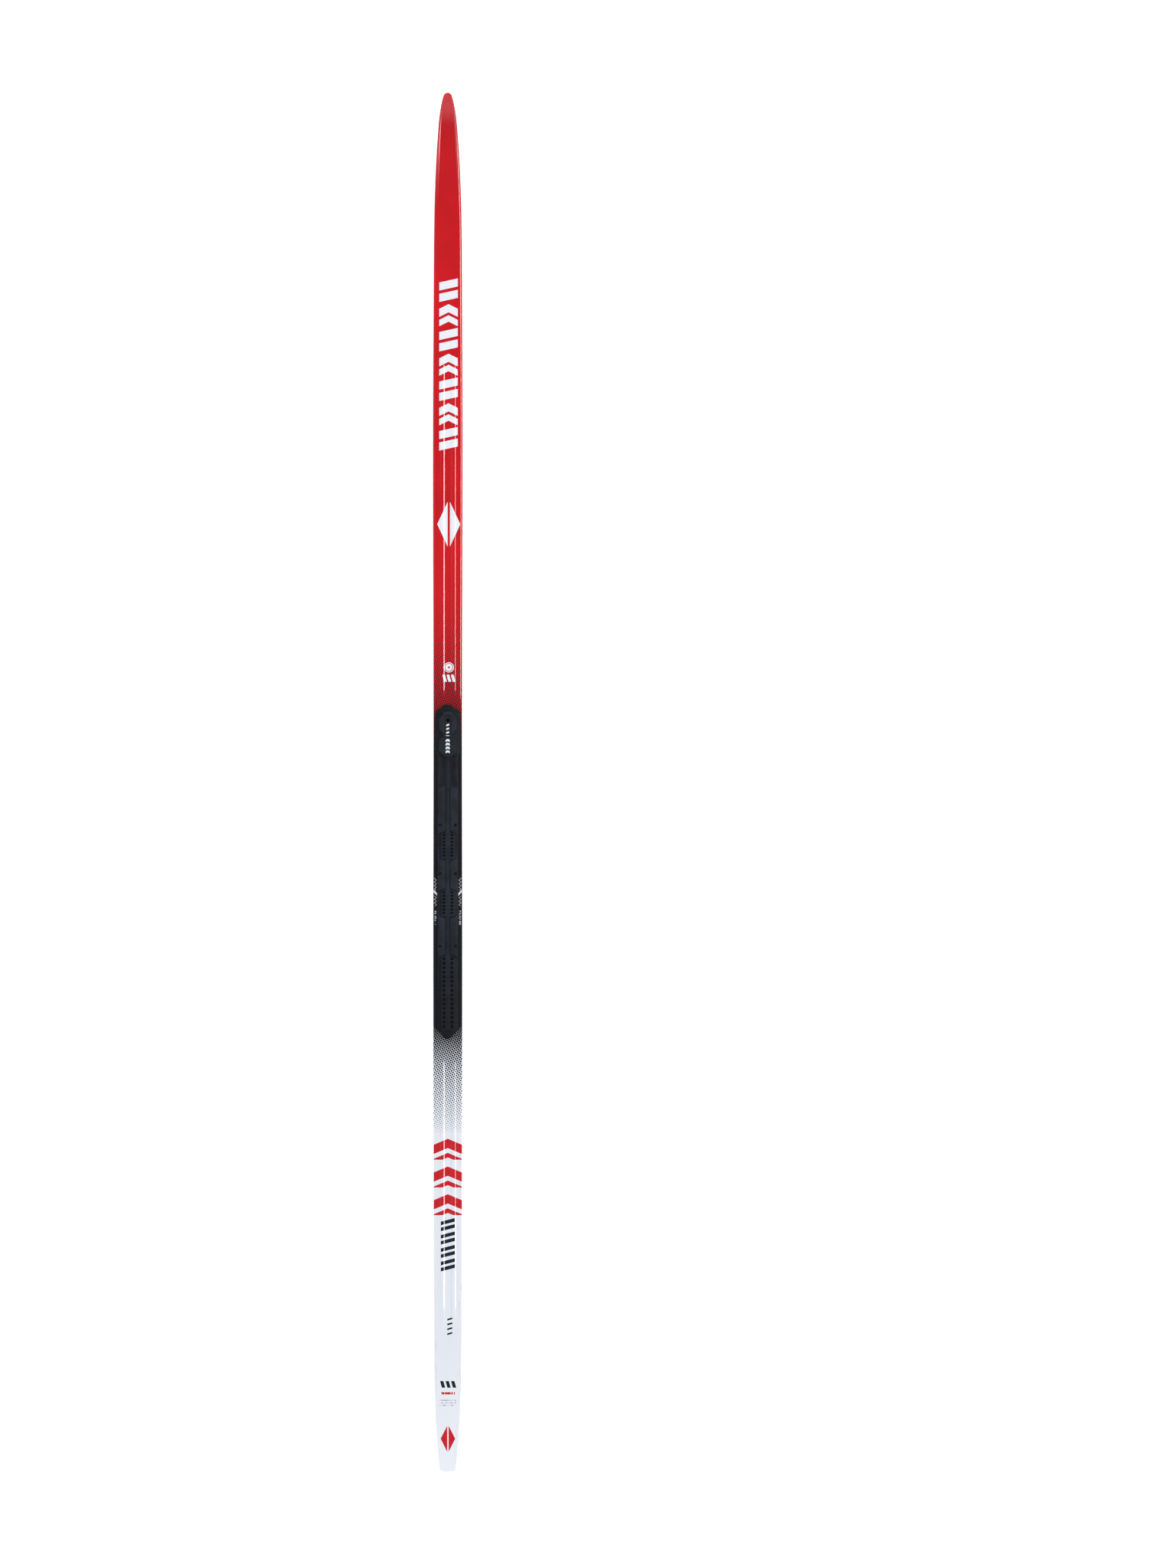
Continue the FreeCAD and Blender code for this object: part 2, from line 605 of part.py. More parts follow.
keep("top_sheet", cut("top_sheet", common("sheet_blank", sheet_band, whole), *relief_cuts,
                      screw_holes))

# --- binding plate ---

bond_top = size("bond_thickness")
plate_rear = PLATE_NOSE - PLATE_LENGTH
flange_half = size("waist_half") - size("flange_inset")
nose_corner = flange_half * size("nose_corner_share")


def plate_plan(name, inside):
    """The plate's plan, drawn in from its edge by a distance."""
    flange, body = flange_half - inside, PLATE_HALF - inside
    nose, rear = PLATE_NOSE - inside, plate_rear + inside
    right = [(size("rear_tip_half"), rear, size("edge_corner")),
             (body, rear + size("rear_depth"), size("edge_corner")),
             (body, nose - size("flange_length") - size("shoulder_depth"), size("edge_corner")),
             (flange, nose - size("flange_length"), size("edge_corner")),
             (flange, nose - size("nose_depth"), nose_corner),
             (size("nose_tip_half"), nose, nose_corner)]
    left = [(-x, y, radius) for x, y, radius in reversed(right)]
    return outline(name, right + left)


bond_band = band("bond", ("crown", ZERO), ("crown", bond_top))
keep("plate_bond", cut("plate_bond", common(
    "bond_blank", bond_band, prism("bond", plate_plan("bond", size("bond_inset")))), screw_holes))


def raised(name, plan, height, low="root_depth"):
    """A block that stands on the plate's floor, rooted in it, and follows the ski."""
    layer = band(name, ("crown", bond_top + size(low)), ("crown", bond_top + height))
    return common(name, layer, prism(name, plan))


floor = common("floor", band("floor", ("crown", bond_top),
                             ("crown", bond_top + size("floor_height"))),
               prism("floor", plate_plan("plate", ZERO)))
island_front = PLATE_NOSE - size("island_start")
island = raised("island", rectangle("island", ISLAND_HALF, island_front, size("island_length"),
                                    size("edge_corner")),
                size("lip_height") + size("lip_overlap"))
notched = [(ISLAND_HALF, island_front - size("island_length"), size("lobe_corner"))]
for i in (1, 0):
    lobe_front = PLATE_NOSE - size("lobe_start") - (size("lobe_length") + size("lobe_gap")) * i
    lobe_rear = lobe_front - size("lobe_length")
    for y, slant in ((lobe_rear, size("lobe_slant")), (lobe_front, -size("lobe_slant"))):
        edge = [(ISLAND_HALF, y, size("lobe_corner")),
                (PLATE_HALF - size("lobe_inset"), y + slant, size("lobe_corner"))]
        notched += edge if y is lobe_rear else edge[::-1]
notched.append((ISLAND_HALF, island_front, size("edge_corner")))
notched += [(-x, y, radius) for x, y, radius in reversed(notched)]
lip = raised("lip", outline("lip", notched), size("island_height"), "lip_height")
ridge_start = size("island_start") + size("island_length") - size("ridge_root")
ridge = raised("ridge", rectangle("ridge", size("ridge_half"), PLATE_NOSE - ridge_start,
                                  rack_starts[-1] - ridge_start), size("ridge_height"))
racks = []
teeth = []
tooth_band = band("tooth", ("crown", bond_top + size("tooth_floor")),
                  ("crown", bond_top + size("cut_height")))
rack_band = band("rack", ("crown", bond_top + size("root_depth")),
                 ("crown", bond_top + size("pad_height")))
tooth_outer = RACK_HALF - size("tooth_inset")
for i, start in enumerate(rack_starts, start=1):
    pitch, count = size(f"rack{i}_pitch"), int(number(f"rack{i}_teeth"))
    length = pitch * count + size("rack_margin") * 2
    racks.append(common(f"rack{i}", rack_band, prism(f"rack{i}", rectangle(
        f"rack{i}", RACK_HALF, PLATE_NOSE - start + size("rack_margin"), length,
        size("rack_corner")))))
    comb = doc.addObject("PartDesign::Body", f"comb{i}")
    planes = {feature.Role: feature for feature in comb.Origin.OriginFeatures}
    plan = comb.newObject("Sketcher::SketchObject", f"comb{i}_plan")
    plan.AttachmentSupport = (planes["XY_Plane"], [""])
    plan.MapMode = "FlatFace"
    front, rear = PLATE_NOSE - start, PLATE_NOSE - start - pitch * size("tooth_share")
    for left, right in ((size("tooth_inner"), tooth_outer),
                        (-tooth_outer, -size("tooth_inner"))):
        corners = [(left, rear), (right, rear), (right, front), (left, front)]
        first = plan.GeometryCount
        for k, (x, y) in enumerate(corners):
            after = corners[(k + 1) % 4]
            plan.addGeometry(Part.LineSegment(FreeCAD.Vector(x.value, y.value, 0),
                                              FreeCAD.Vector(after[0].value, after[1].value, 0)))
        for k, (x, y) in enumerate(corners):
            plan.addConstraint(Sketcher.Constraint("Coincident", first + (k + 3) % 4, 2,
                                                   first + k, 1))
            fix(plan, "DistanceX", -1, 1, first + k, 1, x)
            fix(plan, "DistanceY", -1, 1, first + k, 1, y)
    pad = comb.newObject("PartDesign::Pad", f"comb{i}_pad")
    pad.Profile = plan
    bind(pad, "Length", size("blank_height") * 0.5)
    row = comb.newObject("PartDesign::LinearPattern", f"comb{i}_row")
    row.Originals = [pad]
    row.Direction = (plan, ["V_Axis"])
    row.Reversed = True
    row.Occurrences = count
    bind(row, "Length", pitch * (count - 1))
    comb.Tip = row
    teeth.append(common(f"rack{i}_teeth", tooth_band, comb))

# the front pair of pads has flat tops, level with each other, where a binding rests
seat_y = three_arcs("crown", bond_top)[1]["centre"][0]
seat_z = crown_point(seat_y, bond_top)[0] + number("pad_height")
under_seat = doc.addObject("Part::Box", "under_seat")
bind(under_seat, "Length", size("blank_width"))
bind(under_seat, "Width", PLATE_LENGTH)
under_seat.Height = seat_z
bind(under_seat, "Placement.Base.x", -size("blank_width") * 0.5)
bind(under_seat, "Placement.Base.y", plate_rear)
seat_band = band("seat", ("crown", bond_top + size("root_depth")),
                 ("crown", bond_top + size("cut_height")))

pads = []
pad_outer = PLATE_HALF - size("pad_edge")
slant, corner = size("pad_slant"), size("pad_corner")
for i, front_slant in ((1, -slant), (2, slant), (3, slant)):
    front = PLATE_NOSE - pad_starts[i - 1]
    rear = front - size(f"pad{i}_length")
    for side, hand in ((-1, "left"), (1, "right")):
        name = f"pad{i}_{hand}"
        corners = [(size("pad_inner") * side, rear, corner),
                   (pad_outer * side, rear - slant, corner),
                   (pad_outer * side, front + front_slant, corner),
                   (size("pad_inner") * side, front, corner)]
        block = prism(name, outline(name, corners if side > 0 else corners[::-1]))
        pads.append(common(name, block, seat_band, under_seat) if i == 1
                    else common(name, block, rack_band))

label_front = PLATE_NOSE - size("label_start")
label_low = size("island_height") - size("label_depth")
label_band = band("label_cut", ("crown", bond_top + label_low),
                  ("crown", bond_top + size("cut_height")))
label_cut = common("label_cut", label_band, prism("label_cut", rectangle(
    "label_cut", size("label_half"), label_front, size("label_length"), size("label_corner"))))
rails = []
rail_front = PLATE_NOSE - size("rail_start")
rail_rear = rail_front - size("rail_length")
for side, hand in ((-1, "left"), (1, "right")):
    near, far = (PLATE_HALF - size("rail_inset")) * side, pad_outer * side
    corners = [(near, rail_rear, corner), (far, rail_rear, corner),
               (far, rail_front, corner), (near, rail_front, corner)]
    plan = outline(f"rail_{hand}", corners if side > 0 else corners[::-1])
    rails.append(raised(f"rail_{hand}", plan, size("rail_height")))

eye_y = PLATE_NOSE - size("eye_start")
eye = doc.addObject("Part::Cylinder", "eye")
bind(eye, "Radius", size("eye_radius"))
bind(eye, "Height", size("blank_height"))
eye_z = crown_point(eye_y.value, bond_top + size("eye_floor"))[0]
eye.Placement.Base = FreeCAD.Vector(0, eye_y.value, eye_z)

keep("binding_plate", cut(
    "binding_plate", fused("plate_blank", floor, island, lip, ridge, *rails, *racks, *pads),
    *teeth, label_cut, eye, screw_holes))

# --- label strip in the island's recess, and the screws ---

gap = size("label_clearance")
strip_band = band("strip", ("crown", bond_top + label_low),
                  ("crown", bond_top + label_low + size("label_thickness")))
strip_plan = rectangle("strip", size("label_half") - gap, label_front - gap,
                       size("label_length") - gap * 2, size("label_corner") - gap)
wide_eye = doc.addObject("Part::Cylinder", "wide_eye")
bind(wide_eye, "Radius", size("eye_radius") + gap)
bind(wide_eye, "Height", size("blank_height"))
wide_eye.Placement.Base = eye.Placement.Base
keep("label_strip", cut("label_strip", common("strip_blank", strip_band, prism("strip", strip_plan)),
                        wide_eye))
keep("plate_screws", plate_screws)

# --- checks, then one file for each piece ---

doc.recompute()
failed = [item.Name for item in doc.Objects if {"Invalid", "Error"} & set(item.State)]
if failed:
    raise RuntimeError(f"these objects failed to build: {failed}")
for node, piece in pieces:
    if piece.Shape.isNull() or not piece.Shape.isValid() or not piece.Shape.Solids:
        raise RuntimeError(f"{node} has no valid solid")

os.makedirs("parts", exist_ok=True)
for node, piece in pieces:
    piece.Shape.exportStep(f"parts/{node}.step")
    box = piece.Shape.BoundBox
    print(f"{node:24s} {len(piece.Shape.Solids)} solids {piece.Shape.Volume / 1000:9.2f} cm3"
          f"  x {box.XMin:.1f} {box.XMax:.1f}  y {box.YMin:.1f} {box.YMax:.1f}"
          f"  z {box.ZMin:.2f} {box.ZMax:.2f}")
print(f"seat at y {seat_y:.4f}, z {seat_z:.4f}; eye floor at z {eye_z:.4f}")
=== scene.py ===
import math

import bmesh
import bpy
import numpy as np
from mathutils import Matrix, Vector


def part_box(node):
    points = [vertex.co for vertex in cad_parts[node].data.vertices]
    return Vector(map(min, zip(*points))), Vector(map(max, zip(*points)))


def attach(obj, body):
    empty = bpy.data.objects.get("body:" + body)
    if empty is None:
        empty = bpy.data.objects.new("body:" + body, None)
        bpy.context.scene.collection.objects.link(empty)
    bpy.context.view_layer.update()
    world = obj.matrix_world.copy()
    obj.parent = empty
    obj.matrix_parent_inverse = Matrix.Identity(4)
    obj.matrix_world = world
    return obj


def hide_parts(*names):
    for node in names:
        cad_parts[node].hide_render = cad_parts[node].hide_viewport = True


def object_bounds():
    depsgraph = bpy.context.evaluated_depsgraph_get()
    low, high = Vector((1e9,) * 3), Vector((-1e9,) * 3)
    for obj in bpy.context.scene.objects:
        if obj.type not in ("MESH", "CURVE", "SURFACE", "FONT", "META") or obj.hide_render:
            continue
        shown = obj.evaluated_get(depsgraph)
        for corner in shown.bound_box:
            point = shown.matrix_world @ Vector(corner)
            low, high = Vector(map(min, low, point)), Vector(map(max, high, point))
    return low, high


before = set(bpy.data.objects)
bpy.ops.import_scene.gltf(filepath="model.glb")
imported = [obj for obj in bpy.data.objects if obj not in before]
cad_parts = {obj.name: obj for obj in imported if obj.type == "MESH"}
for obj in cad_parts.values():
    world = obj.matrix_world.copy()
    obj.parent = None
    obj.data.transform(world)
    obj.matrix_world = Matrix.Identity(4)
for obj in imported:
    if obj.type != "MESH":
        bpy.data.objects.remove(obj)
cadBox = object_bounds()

mm = 0.001  # sizes below are in millimetres, the scene is in metres

# the ski's side view: two lines of three tangent arcs, and how thick it is between them
skiSide = {
    "tipContact": 215.0, "tailContact": 110.0,  # from the ends to where it touches the floor
    "baseTip": 420.0, "baseCamber": 12800.0, "baseTail": 680.0,
    "topTip": 425.0, "topCrown": 7780.0, "topTail": 775.0,
    "shovelThick": 7.5, "tailThick": 7.0,
    "sole": 2.0, "laminate": 0.6, "topShell": 1.8, "sidewall": 2.5,
}

# the ski seen from above: half widths at places back from the tip
skiPlan = {
    "noseRadius": 6.6, "noseTurn": 70.0, "tailHalf": 12.6, "tailCorner": 7.0, "tailLean": 5.5,
    "back": [20, 61, 136, 275, 450, 932.5, 1257.5, 1685, 1890, 1959, 2005],
    "half": [10.2, 14.9, 19.0, 21.1, 21.95, 21.3, 21.7, 21.1, 20.4, 18.9, 16.4],
    "fullHalf": 19.5,  # what runs along the ski keeps its own width where the ski is wider than this
}

soleLow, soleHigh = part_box("running_base")
tipEnd, tailEnd = soleHigh[1] / mm, soleLow[1] / mm
skiLength = tipEnd - tailEnd


def sideLine(tip, middle, tail, tipLift=0.0, tailLift=0.0):
    # height of three tangent arcs at any place along the ski, raised by a lift
    tipY, tipZ = tipEnd - skiSide["tipContact"], tip + tipLift
    tailY, tailZ = tailEnd + skiSide["tailContact"], tail + tailLift
    far, near = middle + tip, middle + tail
    across, up = tipY - tailY, tipZ - tailZ
    span = math.hypot(across, up)
    along = (near ** 2 - far ** 2 + span ** 2) / (2 * span)
    below = math.sqrt(near ** 2 - along ** 2)
    midY = tailY + (along * across + below * up) / span
    midZ = tailZ + (along * up - below * across) / span

    def height(y, lift=0.0):
        if y > midY + (tipY - midY) * (middle + lift) / far:
            return tipZ - math.sqrt((tip - lift) ** 2 - (y - tipY) ** 2)
        if y < midY + (tailY - midY) * (middle + lift) / near:
            return tailZ - math.sqrt((tail - lift) ** 2 - (y - tailY) ** 2)
        return midZ + math.sqrt((middle + lift) ** 2 - (y - midY) ** 2)

    return height


baseHeight = sideLine(skiSide["baseTip"], skiSide["baseCamber"], skiSide["baseTail"])
crownHeight = sideLine(skiSide["topTip"], skiSide["topCrown"], skiSide["topTail"],
                       skiSide["shovelThick"], skiSide["tailThick"])


def planLine():
    # half width at any distance back from the tip: nose arc, smooth edge, tail corner
    nose, corner = skiPlan["noseRadius"], skiPlan["tailCorner"]
    turn, lean = math.radians(skiPlan["noseTurn"]), math.radians(skiPlan["tailLean"])
    noseEnd = nose * (1 - math.cos(turn))
    cornerStart = skiLength - corner + corner * math.sin(lean)
    inner = skiPlan["tailHalf"] - corner * math.cos(lean)
    xs = np.array([noseEnd, *skiPlan["back"], cornerStart])
    ys = np.array([nose * math.sin(turn), *skiPlan["half"], skiPlan["tailHalf"]])
    gaps, rises = np.diff(xs), np.diff(ys) / np.diff(xs)
    grid = np.zeros((len(xs), len(xs)))  # slopes of a smooth cubic through the stations
    right = np.zeros(len(xs))
    grid[0, 0] = grid[-1, -1] = 1
    right[0], right[-1] = 1 / math.tan(turn), -math.tan(lean)
    for i in range(1, len(xs) - 1):
        grid[i, i - 1:i + 2] = gaps[i], 2 * (gaps[i - 1] + gaps[i]), gaps[i - 1]
        right[i] = 3 * (gaps[i] * rises[i - 1] + gaps[i - 1] * rises[i])
    slopes = np.linalg.solve(grid, right)

    def half(back):
        back = min(max(back, 0.0), skiLength)
        if back <= noseEnd:
            return math.sqrt(max(nose ** 2 - (nose - back) ** 2, 0.0))
        if back >= cornerStart:
            return inner + math.sqrt(max(corner ** 2 - (corner - skiLength + back) ** 2, 0.0))
        i = int(np.searchsorted(xs, back)) - 1
        s, h = (back - xs[i]) / gaps[i], gaps[i]
        return (ys[i] * (1 + 2 * s) * (1 - s) ** 2 + ys[i + 1] * s * s * (3 - 2 * s)
                + h * slopes[i] * s * (1 - s) ** 2 - h * slopes[i + 1] * s * s * (1 - s))

    return half


planHalf = planLine()


def narrowing(back):
    # 1 along most of the ski, and less towards its ends
    return min(1.0, planHalf(back) / skiPlan["fullHalf"])


def smooth(value):
    value = min(max(value, 0.0), 1.0)
    return value * value * (3 - 2 * value)


def ramp(value, ease=0.2):
    # 0 to 1 with a straight middle and short round ends
    value = min(max(value, 0.0), 1.0)
    if value < ease:
        return value * value / (2 * ease * (1 - ease))
    if value > 1 - ease:
        return 1 - (1 - value) ** 2 / (2 * ease * (1 - ease))
    return (value - ease / 2) / (1 - ease)


def fade(value, start, end):
    # 0 at start and 1 at end, either way round
    return smooth((value - start) / (end - start))


def edgeDistance(x, back):
    # how far a point of the plan lies inside the ski's edge
    nose = skiPlan["noseRadius"]
    if back < nose * (1 - math.cos(math.radians(skiPlan["noseTurn"]))):
        return nose - math.hypot(x, nose - back)
    slope = (planHalf(back + 1) - planHalf(back - 1)) / 2
    aside = (planHalf(back) - abs(x)) / math.sqrt(1 + slope * slope)
    return min(aside, skiLength - back)


# meshes: how far apart the rows stand, closest at the ends and round a recess
meshRows = {
    "longStep": 6.0, "endStep": 0.3, "grow": 0.12, "merge": 1e-7,
    "closeSteps": (-1.5, -0.8, -0.4, -0.15, 0.0, 0.15, 0.4, 0.8, 1.5),
}

# a long piece's map: strips along it, each with a band for every side of the piece
bakeBands = {
    "strips": 8, "margin": 0.02, "upright": 0.35, "shown": (0.01, 0.80), "hidden": (0.83, 0.06),
    "left": 0.90, "right": 0.95, "wall": 0.04, "wallRepeat": 2.5,
}


def rowPlaces(start, end, extra=()):
    # distances back from the tip: close together at the ends, wider between
    places, back = [start], start
    while back < end - meshRows["endStep"]:
        near = min(back - start, end - back)
        back += min(meshRows["longStep"], meshRows["endStep"] + meshRows["grow"] * near)
        places.append(min(back, end))
    places[-1] = end
    for place in extra:
        places += [place + step for step in meshRows["closeSteps"]]
    return sorted(set(places))


def columnsAcross(fixed, insets):
    # columns from the left edge to the right: the middle ones fixed, the others inset from the edge
    half = [("fixed", value) for value in fixed] + [("inset", value) for value in insets]
    return [(*column, -1) for column in reversed(half[1:])] + [(*column, 1) for column in half]


def acrossPlace(column, back):
    kind, value, side = column
    share = narrowing(back)
    return side * (value * share if kind == "fixed" else planHalf(back) - value * share)


def edgeRounding(radius, inset):
    # how far a rounded edge lies below the flat at an inset from it
    return radius - math.sqrt(radius ** 2 - max(radius - inset, 0.0) ** 2)


def gridSlab(name, rows, columns, place, shownUp=True):
    # a grid thickened by one extrusion, then every corner set by place(row, column, isUpper)
    bm = bmesh.new()
    nRows, nColumns = len(rows) - 1, columns - 1
    bmesh.ops.create_grid(bm, x_segments=nColumns, y_segments=nRows, size=0.5)
    made = bmesh.ops.extrude_face_region(bm, geom=bm.faces[:])
    upper = {item for item in made["geom"] if isinstance(item, bmesh.types.BMVert)}
    cells = {}
    for corner in bm.verts:
        column = round((corner.co.x + 0.5) * nColumns)
        row = round((0.5 - corner.co.y) * nRows)
        cells[corner] = (row, column, corner in upper)
    for corner, (row, column, isUpper) in cells.items():
        corner.co = Vector(place(rows[row], column, isUpper)) * mm
    bmesh.ops.remove_doubles(bm, verts=bm.verts[:], dist=meshRows["merge"])
    bmesh.ops.recalc_face_normals(bm, faces=bm.faces[:])
    bakeMap(bm, shownUp)
    mesh = bpy.data.meshes.new(name)
    bm.to_mesh(mesh)
    bm.free()
    return finished(name, mesh)


def bakeMap(bm, shownUp):
    # cuts the piece into strips that fill a square, its shown side the widest
    layer, bands, strips = bm.loops.layers.uv.new("OFBake"), bakeBands, bakeBands["strips"]
    low = min(v.co.y for v in bm.verts)
    long = max(v.co.y for v in bm.verts) - low
    wide = 2 * max(abs(v.co.x) for v in bm.verts)
    for face in bm.faces:
        middle, normal = face.calc_center_median(), face.normal
        strip = min(int((middle.y - low) / long * strips), strips - 1)
        for loop in face.loops:
            at = loop.vert.co
            u = ((at.y - low) / long * strips - strip) * (1 - 2 * bands["margin"]) + bands["margin"]
            if abs(normal.z) < bands["upright"]:
                v = bands["left"] if at.x < 0 else bands["right"]
                v += bands["wall"] * (at.z / (bands["wallRepeat"] * mm) % 1)
            else:
                start, size = bands["shown"] if (normal.z > 0) == shownUp else bands["hidden"]
                v = start + size * (at.x / wide + 0.5)
            loop[layer].uv = (u, (strip + v) / strips)


def finished(name, mesh, angle=35):
    mesh.shade_smooth()
    mesh.set_sharp_from_angle(angle=math.radians(angle))
    piece = bpy.data.objects.new(name, mesh)
    bpy.context.scene.collection.objects.link(piece)
    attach(piece, "root")
    return piece


# finishes

noiseMiddle = (0.3, 0.7)  # where most of a noise's values lie


def paint(red, green, blue):
    # a colour as a screen shows it, 0 to 255, made linear
    return (*[((c / 255 + 0.055) / 1.055) ** 2.4 if c > 10 else c / 3295 for c in (red, green, blue)],
            1.0)


class Finish:
    # one material, with short calls that wire its nodes; places are in millimetres
    def __init__(self, name, **sockets):
        self.material = bpy.data.materials.new(name)
        self.material.use_nodes = True
        self.nodes, self.links = self.material.node_tree.nodes, self.material.node_tree.links
        self.shader = self.nodes["Principled BSDF"]
        for socket, value in sockets.items():
            self.shader.inputs[socket.replace("_", " ")].default_value = value
        self.place = self.add("ShaderNodeVectorMath", self.add("ShaderNodeTexCoord").outputs["Object"],
                              operation="SCALE")
        self.place.inputs["Scale"].default_value = 1 / mm
        parts = self.add("ShaderNodeSeparateXYZ", self.place.outputs["Vector"])
        self.x, self.y, self.z = parts.outputs

    def put(self, socket, value):
        if isinstance(value, bpy.types.NodeSocket):
            self.links.new(value, socket)
        else:
            socket.default_value = value

    def add(self, kind, *values, **settings):
        node = self.nodes.new(kind)
        for setting, value in settings.items():
            setattr(node, setting, value)
        for socket, value in zip(node.inputs, values):
            self.put(socket, value)
        return node

    def calc(self, operation, *values, clamp=False):
        return self.add("ShaderNodeMath", *values, operation=operation, use_clamp=clamp).outputs[0]

    def over(self, value, edge, soft=0.3):
        if isinstance(edge, bpy.types.NodeSocket):
            value, edge = self.calc("SUBTRACT", value, edge), 0.0
        return self.calc("MULTIPLY_ADD", value, 1 / soft, 0.5 - edge / soft, clamp=True)

    def under(self, value, edge, soft=0.3):
        return self.calc("MULTIPLY_ADD", value, -1 / soft, 0.5 + edge / soft, clamp=True)

    def between(self, value, low, high, soft=0.3):
        return self.both(self.over(value, low, soft), self.under(value, high, soft))

    def both(self, *masks):
        result = masks[0]
        for mask in masks[1:]:
            result = self.calc("MULTIPLY", result, mask)
        return result

    def either(self, *masks):
        result = masks[0]
        for mask in masks[1:]:
            result = self.calc("MAXIMUM", result, mask)
        return result

    def inverse(self, mask):
        return self.calc("SUBTRACT", 1.0, mask)

    def mix(self, mask, first, second):
        node = self.add("ShaderNodeMix", data_type="RGBA")
        self.put(node.inputs["Factor"], mask)
        self.put(node.inputs["A"], first)
        self.put(node.inputs["B"], second)
        return node.outputs["Result"]

    def noise(self, scale, stretch=(1, 1, 1), detail=3.0, rough=0.5):
        # scale is in lumps per millimetre
        place = self.add("ShaderNodeVectorMath", self.place.outputs["Vector"],
                         tuple(scale * s for s in stretch), operation="MULTIPLY")
        node = self.add("ShaderNodeTexNoise")
        self.put(node.inputs["Vector"], place.outputs["Vector"])
        node.inputs["Scale"].default_value = 1.0
        node.inputs["Detail"].default_value = detail
        node.inputs["Roughness"].default_value = rough
        return node.outputs["Fac"]

    def range(self, value, low, high):
        # spreads the middle of a noise over low to high
        return self.add("ShaderNodeMapRange", value, *noiseMiddle, low, high).outputs["Result"]

    def lumps(self, *noise, **more):
        # a noise spread over 0 to 1
        return self.range(self.noise(*noise, **more), 0.0, 1.0)

    def offset(self, value, place):
        return self.calc("SUBTRACT", value, place)

    def size(self, value):
        return self.calc("ABSOLUTE", value)

    def pair(self, mask, tones):
        # between two colours as a screen shows them
        return self.mix(mask, *[paint(*tone) for tone in tones])

    def flecks(self, scale, stretch, level, soft, detail=1.0):
        # broken strokes, where a noise rises over a level
        return self.over(self.noise(scale, stretch, detail), level, soft)

    def colour(self, value):
        self.put(self.shader.inputs["Base Color"], value)

    def roughness(self, value):
        self.put(self.shader.inputs["Roughness"], value)

    def bump(self, height, distance, strength=0.5, under=None):
        node = self.add("ShaderNodeBump")
        node.inputs["Strength"].default_value = strength
        node.inputs["Distance"].default_value = distance * mm
        self.put(node.inputs["Height"], height)
        if under is not None:
            self.put(node.inputs["Normal"], under)
        self.put(self.shader.inputs["Normal"], node.outputs["Normal"])
        return node.outputs["Normal"]


def wear(piece, finish):
    piece.data.materials.clear()
    piece.data.materials.append(finish.material)


# top shell: the printed cap with its channel, wings and dished ends

topShape = {
    "edgeRound": 0.9, "bevelInset": 3.2, "bevelWidth": 1.7, "bevelDrop": 0.56,
    "bevelFades": (125.0, 105.0), "bevelLeast": 0.2,
    "channelHalf": 5.4, "channelDepth": 0.99, "channelSlope": 3.0,
    "crestHalf": 11.2, "wingDrop": 0.53, "wingSlope": 1.6,
    "relief": ((674.5, 118.5, 60.0, 17.0), (-398.5, -820.5, 17.0, 42.0)),  # ends, then fades
    "rim": 4.6, "rimSlope": 1.7, "tipDish": 0.55, "tipDishStart": 11.0, "tipDishEnd": 175.0,
    "tailDish": 0.35, "tailDishStart": 7.0, "tailDishEnd": 90.0, "dishRound": 17.0, "dishFade": 32.0,
    "flatColumns": (0.0, 2.0, 8.4),  # places across, then shares of a slope, then insets
    "slopeColumns": (-0.5, -0.4, -0.3, -0.24, 0.24, 0.3, 0.4, 0.5),
    "edgeColumns": (6.4, 5.45, 5.25, 5.05, 4.1, 3.9, 3.7, 3.2, 3.0, 2.82, 2.0, 1.85, 1.7, 1.5, 1.2, 0.9,
                    0.6, 0.36, 0.16, 0.04, 0.0),
}


def topColumns():
    # extra columns stand in the slopes of the channel and the wings
    shape, fixed = topShape, list(topShape["flatColumns"])
    for line, slope in ((shape["channelHalf"], shape["channelSlope"]),
                        (shape["crestHalf"], shape["wingSlope"])):
        fixed += [line + slope * share for share in shape["slopeColumns"]]
    return columnsAcross(sorted(fixed), shape["edgeColumns"])


topAcross = topColumns()


def topRelief(x, y):
    # how far the surface lies below the crown at a place
    shape, drop = topShape, 0.0
    for front, rear, frontFade, rearFade in shape["relief"]:
        depth = fade(y, front, front - frontFade) * fade(y, rear, rear + rearFade)
        if depth > 0:
            channel = ramp((shape["channelHalf"] - abs(x)) / shape["channelSlope"] + 0.5)
            wing = ramp((abs(x) - shape["crestHalf"]) / shape["wingSlope"] + 0.5)
            drop += depth * (channel * shape["channelDepth"] + wing * shape["wingDrop"])
    half, share = planHalf(tipEnd - y), narrowing(tipEnd - y)
    for back, start, end, dish in (
            (tipEnd - y, shape["tipDishStart"], shape["tipDishEnd"], shape["tipDish"]),
            (y - tailEnd, shape["tailDishStart"], shape["tailDishEnd"], shape["tailDish"])):
        if start < back < end:
            rounding = 1 - (1 - min((back - start) / shape["dishRound"], 1.0)) ** 2
            inner = (half - shape["rim"] * share) * math.sqrt(rounding)
            inside = ramp((inner - abs(x)) / (shape["rimSlope"] * share) + 0.5)
            drop += dish * share * inside * fade(back, end, end - shape["dishFade"])
    return drop


